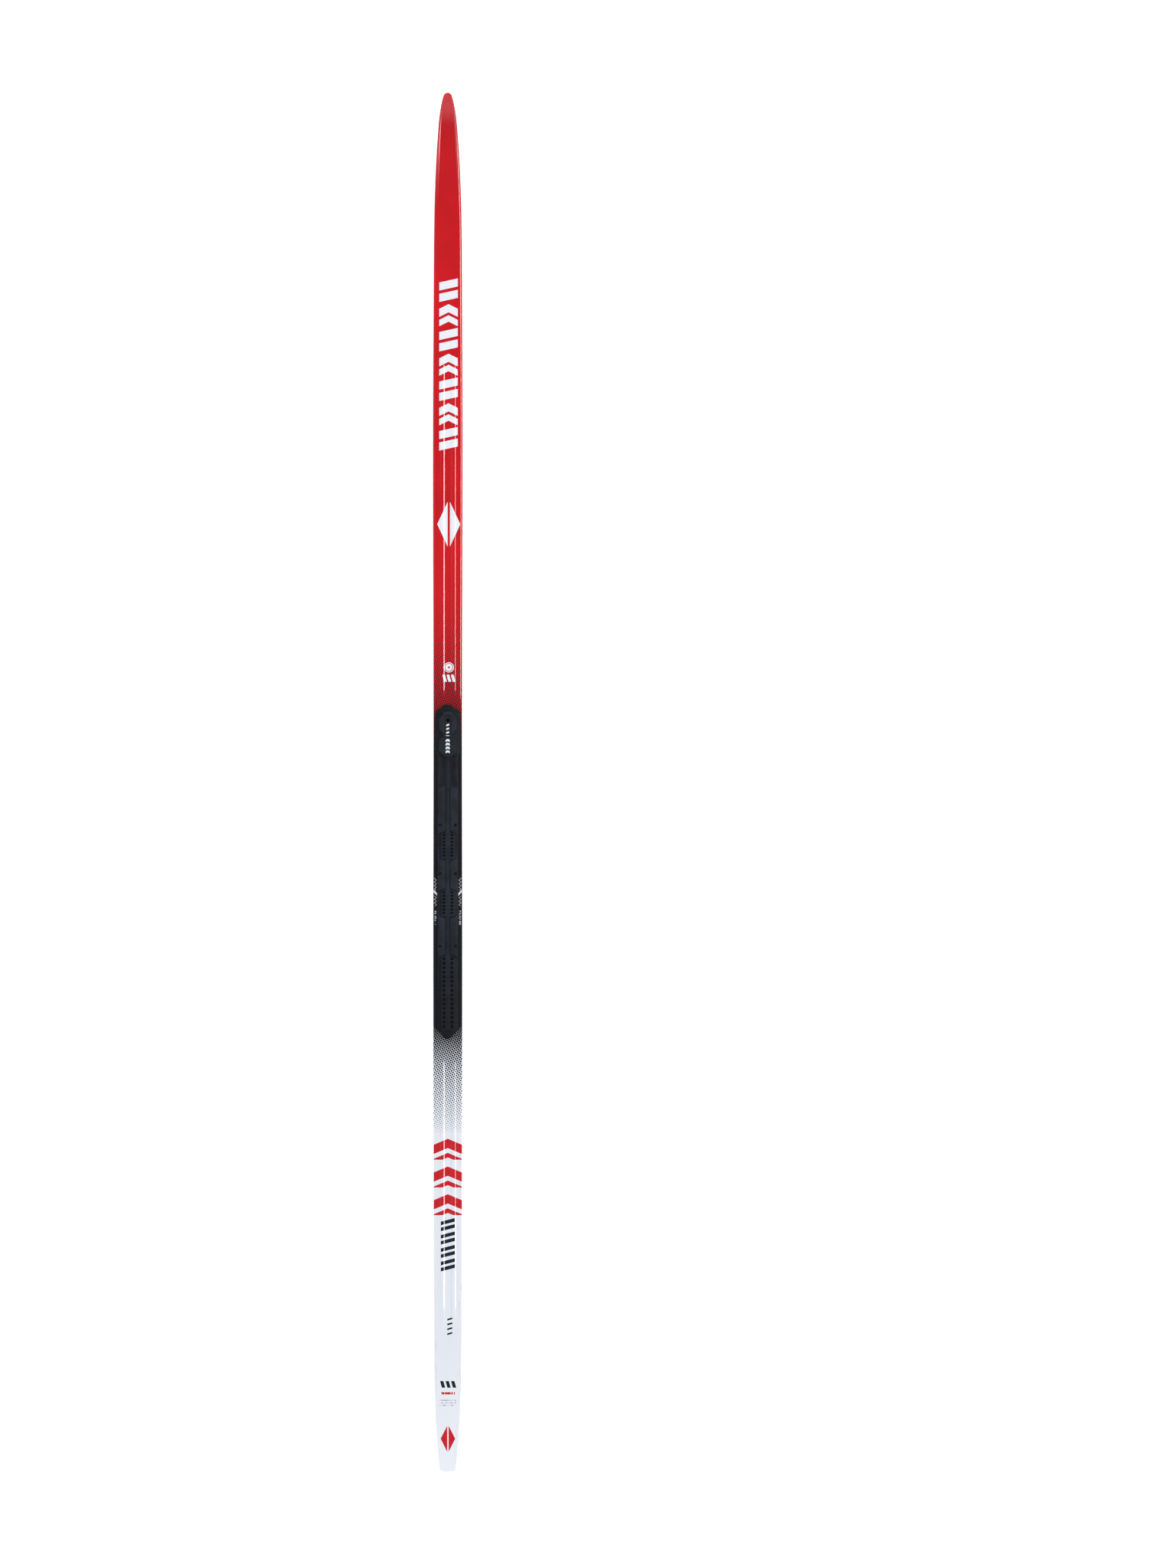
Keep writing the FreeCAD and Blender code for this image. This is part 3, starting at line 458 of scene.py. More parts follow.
def topPlace(back, column, isUpper):
    x, y = acrossPlace(topAcross[column], back), tipEnd - back
    if not isUpper:
        return x, y, crownHeight(y, -skiSide["topShell"])
    shape, share = topShape, narrowing(back)
    inset = max(edgeDistance(x, back), 0.0)
    least, (full, low) = shape["bevelLeast"], shape["bevelFades"]
    bevel = ramp((shape["bevelInset"] - inset / share) / shape["bevelWidth"]) * shape["bevelDrop"]
    bevel *= share * (least + (1 - least) * fade(y, low, full))
    return x, y, crownHeight(y) - topRelief(x, y) - edgeRounding(shape["edgeRound"], inset) - bevel


skiRows = rowPlaces(0.1, skiLength)
topShell = gridSlab("topShell", skiRows, len(topAcross), topPlace)
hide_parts("top_sheet")
print("top shell made")

# the print: its colours as seen
topPaints = {
    "red": (216, 26, 33), "redDeep": (202, 22, 30), "white": (240, 242, 246), "black": (27, 29, 34),
    "mark": (244, 246, 250), "darkMark": (27, 32, 44), "redMark": (207, 34, 42), "grey": (128, 132, 142),
    # edgeBand: grey of the flecks along both edges, partly scuffs and partly a painted sheen
    "sidePrint": (188, 191, 199), "edgeBand": (58, 61, 68),
}

# and its marks: places along are from the ski's middle, tip forward, and places across from its
# centre line; a row's start and middle are where it begins and the line that it follows
topPrint = {
    "changeOver": -100.0,
    "redDots": {"start": 280.0, "end": 48.0, "power": 0.73,
                "waves": ((-0.219, -0.199), (0.1095, -0.298))},
    "whiteDots": {"start": -523.0, "end": -349.0, "power": 0.47,
                  "waves": ((-0.219, -0.210), (0.108, -0.315))},
    "dotLevels": (3.2, -1.7), "dotSoft": 0.7,
    "plateVee": {"point": -383.0, "rise": 20.0, "half": 21.5, "soft": 0.6},
    "whiteEnds": (493.0, 752.0),
    "whiteBars": {"start": 752.0, "middle": 1.0, "pitch": 74.0, "count": 4, "reach": 13.8,
                  "strokes": ((3.0, 15.0), (20.0, 32.0)), "lean": 0.22},
    "whiteVees": {"start": 715.0, "middle": 1.0, "pitch": 74.0, "count": 3, "reach": 13.8,
                  "strokes": ((1.5, 13.5), (18.0, 27.5)), "vee": 0.5},
    "emblem": {"x": 1.5, "y": 385.0, "halfWide": 17.2, "halfLong": 37.0, "split": 1.7},
    "badge": {"x": 1.7, "y": 171.6, "ring": (6.3, 7.5), "disc": 5.4, "hole": 1.6},
    "frontBars": {"start": -7.6, "middle": 155.5, "pitch": 6.4, "count": 3, "reach": 5.4,
                  "strokes": ((0.8, 4.9),), "lean": 0.28, "sideways": True},
    "redVees": {"start": -521.0, "middle": 0.0, "pitch": 41.4, "count": 3, "reach": 30.0,
                "strokes": ((10.0, 24.0), (31.0, 38.0)), "vee": 0.42},
    "tailEmblem": {"x": 0.0, "y": -979.0, "halfWide": 10.9, "halfLong": 21.5, "split": 1.0},
    "redLine": {"ends": (-913.0, -909.6), "reach": 10.3, "flecks": (0.55, (1, 0.1, 0), 0.42, 0.05)},
    "blackBars": {"start": -649.0, "middle": 0.0, "pitch": 20.0, "count": 4, "reach": 10.5,
                  "strokes": ((3.0, 8.5), (12.0, 17.5)), "lean": 0.26},
    "smallBars": {"start": -798.0, "middle": 2.8, "pitch": 7.2, "count": 4, "reach": 3.8,
                  "strokes": ((1.0, 3.6),), "lean": 0.3},
    "tailBars": {"start": -11.6, "middle": -898.0, "pitch": 8.2, "count": 3, "reach": 5.0,
                 "strokes": ((1.2, 6.2),), "lean": 0.28, "sideways": True},
    "fineLines": {"places": (-921.8, -925.6, -929.2), "half": 0.6, "reach": 12.0,
                  "flecks": (0.5, (1, 0.35, 0), 0.5, 0.08)},
    "edgeFlecks": {"from": 17.0, "over": 6.0, "share": 0.25, "flecks": (0.35, (1, 0.05, 1), 0.64, 0.06, 4.0)},
}

# small marks on both edges, beside the plate
edgeMarks = {
    "band": (15.8, 20.6), "slashBand": (15.8, 20.8), "slash": (-186.5, -182.5), "slashLean": 1.1,
    "zigzags": ((-161.0, -142.0), (-184.0, -169.0)), "zigzagMiddle": 16.6, "zigzagTurn": 2.6,
    "zigzagSwing": 1.3, "zigzagHalf": 0.55,
    "dashes": (-212.0, -191.0), "dashBand": (17.0, 19.6), "flecks": (0.5, (0.5, 1, 0), 0.5, 0.08),
}


def dotMask(f, dots):
    # a slanted screen of dots that grow from nothing at start to a solid at end
    (a, b), (c, d) = dots["waves"]
    waves = []
    for wave in ((a, b), (c, d), (c - a, d - b)):
        phase = f.calc("MULTIPLY_ADD", f.x, wave[0] * math.tau, f.calc("MULTIPLY", f.y, wave[1] * math.tau))
        waves.append(f.calc("COSINE", phase))
    screen = f.calc("ADD", f.calc("ADD", waves[0], waves[1]), waves[2])
    start, run = dots["start"], dots["end"] - dots["start"]
    grown = f.calc("MULTIPLY_ADD", f.y, 1 / run, -start / run, clamp=True)
    none, solid = topPrint["dotLevels"]
    level = f.calc("MULTIPLY_ADD", f.calc("POWER", grown, dots["power"]), solid - none, none)
    return f.over(screen, level, topPrint["dotSoft"])


def markRow(f, row):
    # equal cells one behind the other, or side by side, with strokes that lean or fold to a vee
    if row.get("sideways"):
        along, across = f.offset(f.x, row["start"]), f.offset(f.y, row["middle"])
    else:
        along, across = f.offset(row["start"], f.y), f.offset(f.x, row["middle"])
    cell = f.calc("MULTIPLY", f.calc("FRACT", f.calc("DIVIDE", along, row["pitch"])), row["pitch"])
    if "lean" in row:
        cell = f.calc("MULTIPLY_ADD", across, row["lean"], cell)
    if "vee" in row:
        cell = f.calc("MULTIPLY_ADD", f.size(across), -row["vee"], cell)
    mask = f.either(*[f.between(cell, low, high) for low, high in row["strokes"]])
    length = row["pitch"] * row["count"]
    return f.both(mask, f.between(along, 0.0, length), f.under(f.size(across), row["reach"]))


def kite(f, shape, soft=0.02):
    # a long four-cornered emblem, split along its middle
    across, along = f.size(f.offset(f.x, shape["x"])), f.size(f.offset(f.y, shape["y"]))
    size = f.calc("ADD", f.calc("DIVIDE", across, shape["halfWide"]),
                  f.calc("DIVIDE", along, shape["halfLong"]))
    return f.both(f.under(size, 1.0, soft), f.over(across, shape["split"]))


def makeBadge(f, badge):
    # a disc with a hole, inside a ring
    across, along = f.offset(f.x, badge["x"]), f.offset(f.y, badge["y"])
    out = f.calc("SQRT", f.calc("ADD", f.calc("POWER", across, 2.0), f.calc("POWER", along, 2.0)))
    return f.either(f.between(out, *badge["ring"]),
                    f.both(f.under(out, badge["disc"]), f.over(out, badge["hole"])))


def makeGround(f, colours):
    # red ahead and white behind, each darkening to black dots towards the plate
    cloudy = f.lumps(0.012, (1.2, 1, 1), 2.0)
    front = f.over(f.y, topPrint["changeOver"], 1.0)
    ground = f.mix(front, colours["white"], f.mix(cloudy, colours["red"], colours["redDeep"]))
    vee = topPrint["plateVee"]
    behind = f.over(f.calc("MULTIPLY_ADD", f.size(f.x), -vee["rise"] / vee["half"], f.y),
                    vee["point"], vee["soft"])
    behind = f.both(f.either(dotMask(f, topPrint["whiteDots"]), behind), f.inverse(front))
    ahead = f.both(dotMask(f, topPrint["redDots"]), front)
    return f.mix(f.calc("ADD", ahead, behind), ground, colours["black"])


def makeFineMarks(f, wide):
    # the broken lines near the tail: one red, the others grey
    line, fine = topPrint["redLine"], topPrint["fineLines"]
    red = f.both(f.between(f.y, *line["ends"]), f.under(wide, line["reach"]), f.flecks(*line["flecks"]))
    lines = f.either(*[f.between(f.y, y - fine["half"], y + fine["half"]) for y in fine["places"]])
    return red, f.both(lines, f.under(wide, fine["reach"]), f.flecks(*fine["flecks"]))


def makeEdgeMarks(f, wide):
    marks = edgeMarks
    wave = f.calc("MULTIPLY", f.calc("PINGPONG", f.y, marks["zigzagTurn"]), marks["zigzagSwing"])
    zigzag = f.size(f.offset(f.offset(wide, marks["zigzagMiddle"]), wave))
    zigzag = f.both(f.under(zigzag, marks["zigzagHalf"]),
                    f.either(*[f.between(f.y, *ends) for ends in marks["zigzags"]]))
    dashes = f.both(f.between(f.y, *marks["dashes"]), f.between(wide, *marks["dashBand"]),
                    f.flecks(*marks["flecks"]))
    slash = f.between(f.calc("MULTIPLY_ADD", wide, -marks["slashLean"], f.y), *marks["slash"])
    return (f.both(f.either(zigzag, dashes), f.between(wide, *marks["band"])),
            f.both(slash, f.between(wide, *marks["slashBand"])))


def makeTopPrint():
    f = Finish("topPrint", Coat_Weight=1.0, Coat_Roughness=0.05, Specular_IOR_Level=0.2)
    colours = {name: paint(*value) for name, value in topPaints.items()}
    wide = f.size(f.x)
    rows = {name: markRow(f, row) for name, row in topPrint.items()
            if isinstance(row, dict) and "pitch" in row}
    block = f.both(f.either(rows["whiteBars"], rows["whiteVees"]), f.between(f.y, *topPrint["whiteEnds"]))
    white = f.either(block, kite(f, topPrint["emblem"]), makeBadge(f, topPrint["badge"]),
                     rows["frontBars"])
    redLine, fineLines = makeFineMarks(f, wide)
    red = f.either(rows["redVees"], kite(f, topPrint["tailEmblem"]), redLine)
    dark = f.either(rows["blackBars"], rows["smallBars"], rows["tailBars"])
    beside, slash = makeEdgeMarks(f, wide)
    # grey flecks towards both edges of the top: partly scuffs, partly a painted sheen like the pale band
    # beside the plate
    edgeFlecks = topPrint["edgeFlecks"]
    edgeTone = f.both(f.flecks(*edgeFlecks["flecks"]), f.over(wide, edgeFlecks["from"], edgeFlecks["over"]))
    edgeTone = f.calc("MULTIPLY", edgeTone, edgeFlecks["share"])
    ground = makeGround(f, colours)
    for mask, colour in ((white, "mark"), (red, "redMark"), (dark, "darkMark"), (fineLines, "grey"),
                         (beside, "sidePrint"), (slash, "mark"), (edgeTone, "edgeBand")):
        ground = f.mix(mask, ground, colours[colour])
    f.colour(ground)
    f.roughness(f.range(f.noise(0.02, (1, 0.3, 1), 4.0), 0.24, 0.36))
    f.bump(f.noise(0.6, (1, 0.4, 1), 2.0), 0.02, 0.25)
    return f


wear(topShell, makeTopPrint())
print("top print made")

# sole: the running base with its guide groove and the recess for the skin

soleShape = {
    "grooveHalf": 4.0, "grooveDepth": 0.8, "grooveRound": 3.6, "grooveWall": 0.9,
    "grooveFront": 250.0, "grooveRear": 130.0, "grooveGap": 40.0,
    "recessDepth": 1.5, "recessRound": 6.3, "recessWall": 0.3, "recessClear": 0.3, "edgeRound": 0.4,
    "fixedColumns": (0.0, 1.8, 3.0, 3.45, 3.7, 4.0, 4.3, 4.55, 5.5, 9.0, 12.5, 14.9, 15.2, 15.4, 15.7),
    "edgeColumns": (3.2, 2.2, 1.2, 0.5, 0.28, 0.12, 0.0),
    "cornerRows": (2.2, 3.0, 4.0, 5.2),  # closer rows round the recess's corners
}
soleLook = {"ground": ((22, 23, 26), (38, 40, 45)), "streak": (62, 64, 70), "rough": (0.42, 0.58)}
skinLow, skinHigh = (Vector(corner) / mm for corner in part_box("mohair_skin"))
soleAcross = columnsAcross(soleShape["fixedColumns"], soleShape["edgeColumns"])
grooves = [(tipEnd - soleShape["grooveFront"], skinHigh.y + soleShape["grooveGap"]),
           (skinLow.y - soleShape["grooveGap"], tailEnd + soleShape["grooveRear"])]
recess = [skinHigh.x, skinHigh.y, skinLow.y]  # half width, front and rear
for i, outward in enumerate((1, 1, -1)):
    recess[i] += outward * soleShape["recessClear"]


def slotDistance(x, y, half, front, rear, corner):
    # signed distance to a rounded slot, below zero inside it
    across = abs(x) - half + corner
    along = abs(y - (front + rear) / 2) - (front - rear) / 2 + corner
    outside = math.hypot(max(across, 0.0), max(along, 0.0))
    return outside + min(max(across, along), 0.0) - corner


def solePlace(back, column, isUpper):
    x, y = acrossPlace(soleAcross[column], back), tipEnd - back
    if isUpper:
        return x, y, baseHeight(y, skiSide["sole"])
    shape, rise = soleShape, 0.0
    for front, rear in grooves:
        gap = slotDistance(x, y, shape["grooveHalf"], front, rear, shape["grooveRound"])
        rise = max(rise, shape["grooveDepth"] * smooth(0.5 - gap / shape["grooveWall"]))
    gap = slotDistance(x, y, *recess, shape["recessRound"])
    rise = max(rise, shape["recessDepth"] * smooth(0.5 - gap / shape["recessWall"]))
    rise += edgeRounding(shape["edgeRound"], max(edgeDistance(x, back), 0.0))
    return x, y, baseHeight(y, rise)


recessEnds = [tipEnd - recess[1], tipEnd - recess[2]]
soleRows = rowPlaces(0.1, skiLength, recessEnds)
for end, inward in zip(recessEnds, (1, -1)):
    soleRows += [end + inward * step for step in soleShape["cornerRows"]]
sole = gridSlab("sole", sorted(set(soleRows)), len(soleAcross), solePlace, shownUp=False)
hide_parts("running_base")


def makeSole():
    f = Finish("sinteredSole", Specular_IOR_Level=0.35)
    speckle, streaks = f.lumps(2.2, detail=1.0), f.lumps(0.9, (1, 0.02, 1), 3.0)
    ground = f.pair(speckle, soleLook["ground"])
    f.colour(f.mix(f.calc("MULTIPLY", streaks, 0.35), ground, paint(*soleLook["streak"])))
    f.roughness(f.range(streaks, *soleLook["rough"]))
    f.bump(f.noise(3.5, (1, 0.012, 1), 2.0), 0.04, 0.4)  # the stone grind runs along the ski
    return f


wear(sole, makeSole())
print("sole made")

# laminates: thin woven sheets over and under the core

laminateShape = {"columns": 13, "inset": 0.12, "least": 0.4,
                 "tows": ((38, 40, 44), (86, 88, 92)), "pitch": 1.8, "rough": 0.4}


def thinSheet(name, node, height, low, high):
    count = laminateShape["columns"]

    def place(back, column, isUpper):
        half = max(planHalf(back) - laminateShape["inset"], laminateShape["least"])
        x, y = half * (2 * column / (count - 1) - 1), tipEnd - back
        return x, y, height(y, high if isUpper else low)

    sheet = gridSlab(name, rowPlaces(0.25, skiLength - laminateShape["inset"]), count, place)
    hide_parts(node)
    return sheet


def weaveFinish(name, tows, pitch=laminateShape["pitch"]):
    # a plain weave of flat tows, over and under by turns
    f = Finish(name, Roughness=laminateShape["rough"], Coat_Weight=0.3)
    across = f.calc("SINE", f.calc("MULTIPLY", f.x, math.pi / pitch))
    along = f.calc("SINE", f.calc("MULTIPLY", f.y, math.pi / pitch))
    check = f.over(f.calc("MULTIPLY", across, along), 0.0, 0.5)
    strands = f.range(f.noise(4.0, (1, 0.2, 1), 2.0), 0.0, 0.35)
    f.colour(f.pair(f.calc("ADD", f.calc("MULTIPLY", check, 0.6), strands, clamp=True), tows))
    f.bump(check, 0.05, 0.4)
    return f


laminateFinish = weaveFinish("wovenLaminate", laminateShape["tows"])
soleTop, shellUnder = skiSide["sole"], -skiSide["topShell"]
lowerLaminate = thinSheet("lowerLaminate", "lower_laminate", baseHeight, soleTop,
                          soleTop + skiSide["laminate"])
upperLaminate = thinSheet("upperLaminate", "upper_laminate", crownHeight,
                          shellUnder - skiSide["laminate"], shellUnder)
wear(lowerLaminate, laminateFinish)
wear(upperLaminate, laminateFinish)
print("laminates made")

# sidewalls: strips that close the core, a little rounded outwards

wallShape = {"bulge": 0.06, "columns": 7, "inset": 0.1,
             "ground": ((24, 25, 28), (36, 37, 41)), "rough": (0.38, 0.52)}


def sideWall(name, node, side):
    low, high = (Vector(corner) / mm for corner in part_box(node))
    count = wallShape["columns"]

    def place(back, column, isUpper):
        y, share = tipEnd - back, column / (count - 1)
        bottom = baseHeight(y, soleTop + skiSide["laminate"])
        top = crownHeight(y, shellUnder - skiSide["laminate"])
        bulge = wallShape["bulge"] * (1 - (2 * share - 1) ** 2)
        inset = wallShape["inset"] - bulge if isUpper else skiSide["sidewall"]
        return side * (planHalf(back) - inset), y, bottom + (top - bottom) * share

    wall = gridSlab(name, rowPlaces(tipEnd - high.y, tipEnd - low.y), count, place)
    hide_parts(node)
    return wall


def makeSidewall():
    f = Finish("sidewallPlastic", Specular_IOR_Level=0.4)
    f.colour(f.pair(f.lumps(0.05), wallShape["ground"]))
    f.roughness(f.range(f.noise(0.4, (1, 0.1, 1), 3.0), *wallShape["rough"]))
    f.bump(f.noise(1.5, (1, 0.03, 1), 2.0), 0.03, 0.4)
    return f


wallFinish = makeSidewall()
for hand, side in (("left", -1), ("right", 1)):
    wear(sideWall(f"sidewall_{hand}_strip", f"sidewall_{hand}", side), wallFinish)
print("sidewalls made")

# mohair skin: a strip of short pile, its edges sheared down

skinShape = {
    "flatWidth": 30.0, "corner": 6.0, "thick": 1.4, "bond": 0.3, "sheared": 0.55, "shearedWidth": 1.1,
    "wave": 0.05, "insets": (0.0, 0.1, 0.3, 0.6, 1.0, 1.6), "middle": 9, "step": 2.0, "endRows": 12,
    "hairs": ((118, 112, 104), (196, 190, 180)), "tufts": (150, 143, 133),
}


def skinHalf(y):
    half, corner = skinHigh.x, skinShape["corner"]
    near = min(skinHigh.y - y, y - skinLow.y)
    return half if near >= corner else half - edgeRounding(corner, near)


def skinPlace(back, column, isUpper):
    insets, middle = skinShape["insets"], skinShape["middle"]
    last = len(insets) * 2 + middle - 1
    half, y = skinHalf(tipEnd - back), tipEnd - back
    if column < len(insets):
        x = insets[column] - half
    elif column > last - len(insets):
        x = half - insets[last - column]
    else:
        x = (half - insets[-1]) * (2 * (column - len(insets) + 1) / (middle + 1) - 1)
    top = soleShape["recessDepth"] - skinShape["bond"]
    if isUpper:
        return x, y, baseHeight(y, top)
    gap = -slotDistance(x, y, skinHigh.x, skinHigh.y, skinLow.y, skinShape["corner"])
    rise = skinShape["sheared"] * (1 - smooth(gap / skinShape["shearedWidth"]))
    rise += skinShape["wave"] * (0.5 + 0.5 * math.sin(y * 0.9 + math.sin(x * 0.7) * 1.5))
    return x, y, baseHeight(y, top - skinShape["thick"] + rise)


skinRows = rowPlaces(tipEnd - skinHigh.y, tipEnd - skinLow.y)
first, last = skinRows[skinShape["endRows"]], skinRows[-skinShape["endRows"]]
skinRows = sorted(set(skinRows) | set(np.arange(first, last, skinShape["step"])))
skinPile = gridSlab("skinPile", skinRows, len(skinShape["insets"]) * 2 + skinShape["middle"],
                    skinPlace, shownUp=False)
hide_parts("mohair_skin")


def makePile():
    f = Finish("mohairPile", Roughness=0.85, Sheen_Weight=0.6, Sheen_Roughness=0.4,
               Specular_IOR_Level=0.15)
    hairs, tufts = f.lumps(5.0, (1, 0.12, 1), 3.0, 0.6), f.lumps(0.7, (1, 0.35, 1), 2.0)
    ground = f.pair(hairs, skinShape["hairs"])
    f.colour(f.mix(f.calc("MULTIPLY", tufts, 0.4), ground, paint(*skinShape["tufts"])))
    combed = f.bump(f.noise(5.0, (1, 0.10, 1), 3.0), 0.35, 0.7)
    f.bump(tufts, 0.3, 0.35, under=combed)
    return f


wear(skinPile, makePile())
print("skin made")

# binding plate: the moulded plate, its edges softened as a mould leaves them

plateShape = {"edge": 0.26, "steps": 2, "sharper": 28, "flatter": 0.6, "merge": 2e-6}
plateLook = {
    # deep and raised tones: painted shade, lower parts of the plate coloured darker
    "deep": ((10, 11, 14), (15, 17, 21)), "raised": ((27, 30, 37), (38, 43, 53)),
    "edge": (178, 186, 202), "edgeShares": (0.4, 1.0),  # how much the painted highlight on the edges shows, deep and raised
    "levels": (52.9, 55.3), "arch": 25600.0,  # levels are heights at the middle of the arch
    "rough": (0.34, 0.48), "grain": 0.9, "relief": 2.25,
}


def softened(name, node):
    # a merged copy of a node, flat faces joined, with its sharp edges rounded
    shape, bm = plateShape, bmesh.new()
    bm.from_mesh(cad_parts[node].data)
    bmesh.ops.remove_doubles(bm, verts=bm.verts[:], dist=shape["merge"])
    bmesh.ops.dissolve_limit(bm, angle_limit=math.radians(shape["flatter"]), verts=bm.verts[:],
                             edges=bm.edges[:], delimit=set())
    sharp = [e for e in bm.edges
             if len(e.link_faces) == 2 and e.calc_face_angle() > math.radians(shape["sharper"])]
    edgeTone = bm.faces.layers.float.new("edgeTone")  # 1 on the rounded edges, where the plate's finish paints a highlight
    cut = bmesh.ops.bevel(bm, geom=sharp, offset=shape["edge"] * mm, offset_type="OFFSET",
                          segments=shape["steps"], profile=0.5, affect="EDGES", clamp_overlap=True,
                          material=-1)
    for face in cut["faces"]:
        face[edgeTone] = 1.0
    bmesh.ops.triangulate(bm, faces=bm.faces[:])
    mesh = bpy.data.meshes.new(name)
    bm.to_mesh(mesh)
    bm.free()
    piece = finished(name, mesh, 40)
    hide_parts(node)
    return piece


def makeMoulded():
    # painted shade makes it darker down in its recesses, and a painted highlight makes it paler along the
    # rounded edges that catch the light
    f, look = Finish("plateMoulding", Specular_IOR_Level=0.35), plateLook
    cloudy = f.lumps(0.06)
    arch = f.calc("DIVIDE", f.calc("MULTIPLY", f.y, f.y), look["arch"])
    low, high = look["levels"]
    # painted shade: the lower a place lies, with the arch taken out, the darker its colour
    level = f.over(f.calc("ADD", f.z, arch), (low + high) / 2, high - low)
    ground = f.mix(level, f.pair(cloudy, look["deep"]), f.pair(cloudy, look["raised"]))
    least, most = look["edgeShares"]
    # a painted highlight on the rounded edges, weaker down in the recesses
    edgeTone = f.add("ShaderNodeAttribute", attribute_name="edgeTone").outputs["Fac"]
    edgeTone = f.calc("MULTIPLY", edgeTone, f.calc("MULTIPLY_ADD", level, most - least, least))
    f.colour(f.mix(edgeTone, ground, paint(*look["edge"])))
    f.roughness(f.range(f.noise(look["grain"], detail=2.0), *look["rough"]))
    f.bump(f.noise(look["relief"], detail=2.0), 0.04, 0.35)
    return f


wear(softened("bindingPlate", "binding_plate"), makeMoulded())
print("binding plate made")

# the nodes that stay as they are, each with its own finish

labelPrint = {
    "ground": ((26, 28, 33), (30, 32, 37)), "mark": (232, 235, 240), "line": (69.4, 70.3), "lineHalf": 2.6,
    "bars": {"start": 88.0, "middle": 0.0, "pitch": 5.6, "count": 3, "reach": 2.2,
             "strokes": ((1.0, 3.6),), "lean": 0.3},
    "vees": {"start": 66.0, "middle": 0.0, "pitch": 5.6, "count": 4, "reach": 3.1,
             "strokes": ((0.8, 4.2),), "vee": 0.5},
}


def makeLabel():
    f = Finish("labelPrint", Roughness=0.35, Coat_Weight=0.4)
    dusty = f.lumps(0.8)
    line = f.both(f.between(f.y, *labelPrint["line"]), f.under(f.size(f.x), labelPrint["lineHalf"]))
    marks = f.either(markRow(f, labelPrint["bars"]), markRow(f, labelPrint["vees"]), line)
    f.colour(f.mix(marks, f.pair(dusty, labelPrint["ground"]), paint(*labelPrint["mark"])))
    f.bump(dusty, 0.02, 0.2)
    return f


def woodFinish(name, tones, ring):
    # fibres along the ski, with growth rings that wander a little
    f = Finish(name, Roughness=0.6, Specular_IOR_Level=0.3)
    bend = f.calc("MULTIPLY", f.noise(0.02, (1, 0.2, 1), 3.0), 6.0)
    rings = f.calc("SINE", f.calc("MULTIPLY_ADD", f.calc("ADD", f.x, bend), math.tau / ring, f.z))
    fibres = f.lumps(1.6, (1, 0.03, 1), 4.0)
    grain = f.calc("MULTIPLY_ADD", fibres, 0.5, f.calc("MULTIPLY_ADD", rings, 0.22, 0.25), clamp=True)
    f.colour(f.pair(grain, tones))
    f.bump(fibres, 0.08, 0.3)
    return f


def speckledFinish(name, tones, scale, rough, deep=0.1, **sockets):
    f = Finish(name, **sockets)
    lumps = f.lumps(scale)
    f.colour(f.pair(lumps, tones))
    f.roughness(f.range(lumps, rough, min(rough + 0.15, 1.0)))
    f.bump(lumps, deep, 0.4)
    return f


innerTones = {
    "glue": ((186, 160, 96), (214, 192, 132)), "spacer": ((26, 27, 30), (40, 41, 45)),
    "foam": ((206, 190, 148), (232, 220, 186)), "block": ((196, 158, 108), (150, 108, 64)),
    "stringer": ((214, 184, 138), (176, 138, 92)), "sheet": ((70, 74, 70), (128, 134, 124)),
    "bond": ((20, 21, 24), (34, 35, 38)), "screw": ((34, 35, 38), (62, 64, 68)),
}
spacer = speckledFinish("spacerPlastic", innerTones["spacer"], 0.8, 0.5)
foam = speckledFinish("coreFoam", innerTones["foam"], 1.6, 0.8, 0.25)
stringer = woodFinish("stringerWood", innerTones["stringer"], 2.4)
kept = {
    "skin_glue": speckledFinish("skinGlue", innerTones["glue"], 0.4, 0.25, 0.05),
    "tip_spacer": spacer, "tail_spacer": spacer,
    "core_front": foam, "core_rear": foam,
    "core_block": woodFinish("blockWood", innerTones["block"], 3.6),
    "stringer_left": stringer, "stringer_right": stringer,
    "binding_reinforcement": weaveFinish("reinforcementSheet", innerTones["sheet"], 2.4),
    "plate_bond": speckledFinish("plateBond", innerTones["bond"], 0.5, 0.3, 0.05),
    "label_strip": makeLabel(),
    "plate_screws": speckledFinish("screwSteel", innerTones["screw"], 1.5, 0.32, 0.02, Metallic=0.85),
}
for node, finish in kept.items():
    wear(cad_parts[node], finish)
print("kept nodes finished")

# floor, light and camera

studio = {
    "floor": 120.0, "floorBelow": 0.0004, "floorTones": ((253, 253, 254), (252, 252, 252)),
    "floorGlow": 0.6,
    "cameraHeight": 32.5, "lens": 500.0, "sensor": 36.0, "farthest": 200.0,
    "aside": 0.209, "ahead": -0.0022,
    "stripPlace": (2.25, 0.0, 2.35), "stripSize": (4.6, 0.2), "stripPower": 36, "stripAim": (0, 0, 0.03),
    "room": 3.1, "roomTone": (0.93, 0.95, 1.0, 1), "roomEnds": (-0.85, -0.45), "roomEndShare": 0.3,
    "roomBands": ((0.0, 0.36), (0.42, 0.36), (0.48, 1.0), (0.6, 1.0), (0.7, 0.05), (1.0, 0.03)),
}


def makeFloor():
    bm = bmesh.new()
    bmesh.ops.create_grid(bm, x_segments=1, y_segments=1, size=studio["floor"] / 2)
    bmesh.ops.translate(bm, verts=bm.verts[:], vec=(0, 0, cadBox[0][2] - studio["floorBelow"]))
    mesh = bpy.data.meshes.new("floor")
    bm.to_mesh(mesh)
    bm.free()
    floor = bpy.data.objects.new("floor", mesh)
    bpy.context.scene.collection.objects.link(floor)
    f = Finish("floorPaper", Roughness=0.95, Specular_IOR_Level=0.0)
    f.colour(f.pair(f.noise(0.02, detail=2.0), studio["floorTones"]))
    f.shader.inputs["Emission Color"].default_value = (1, 1, 1, 1)
    f.shader.inputs["Emission Strength"].default_value = studio["floorGlow"]
    wear(floor, f)


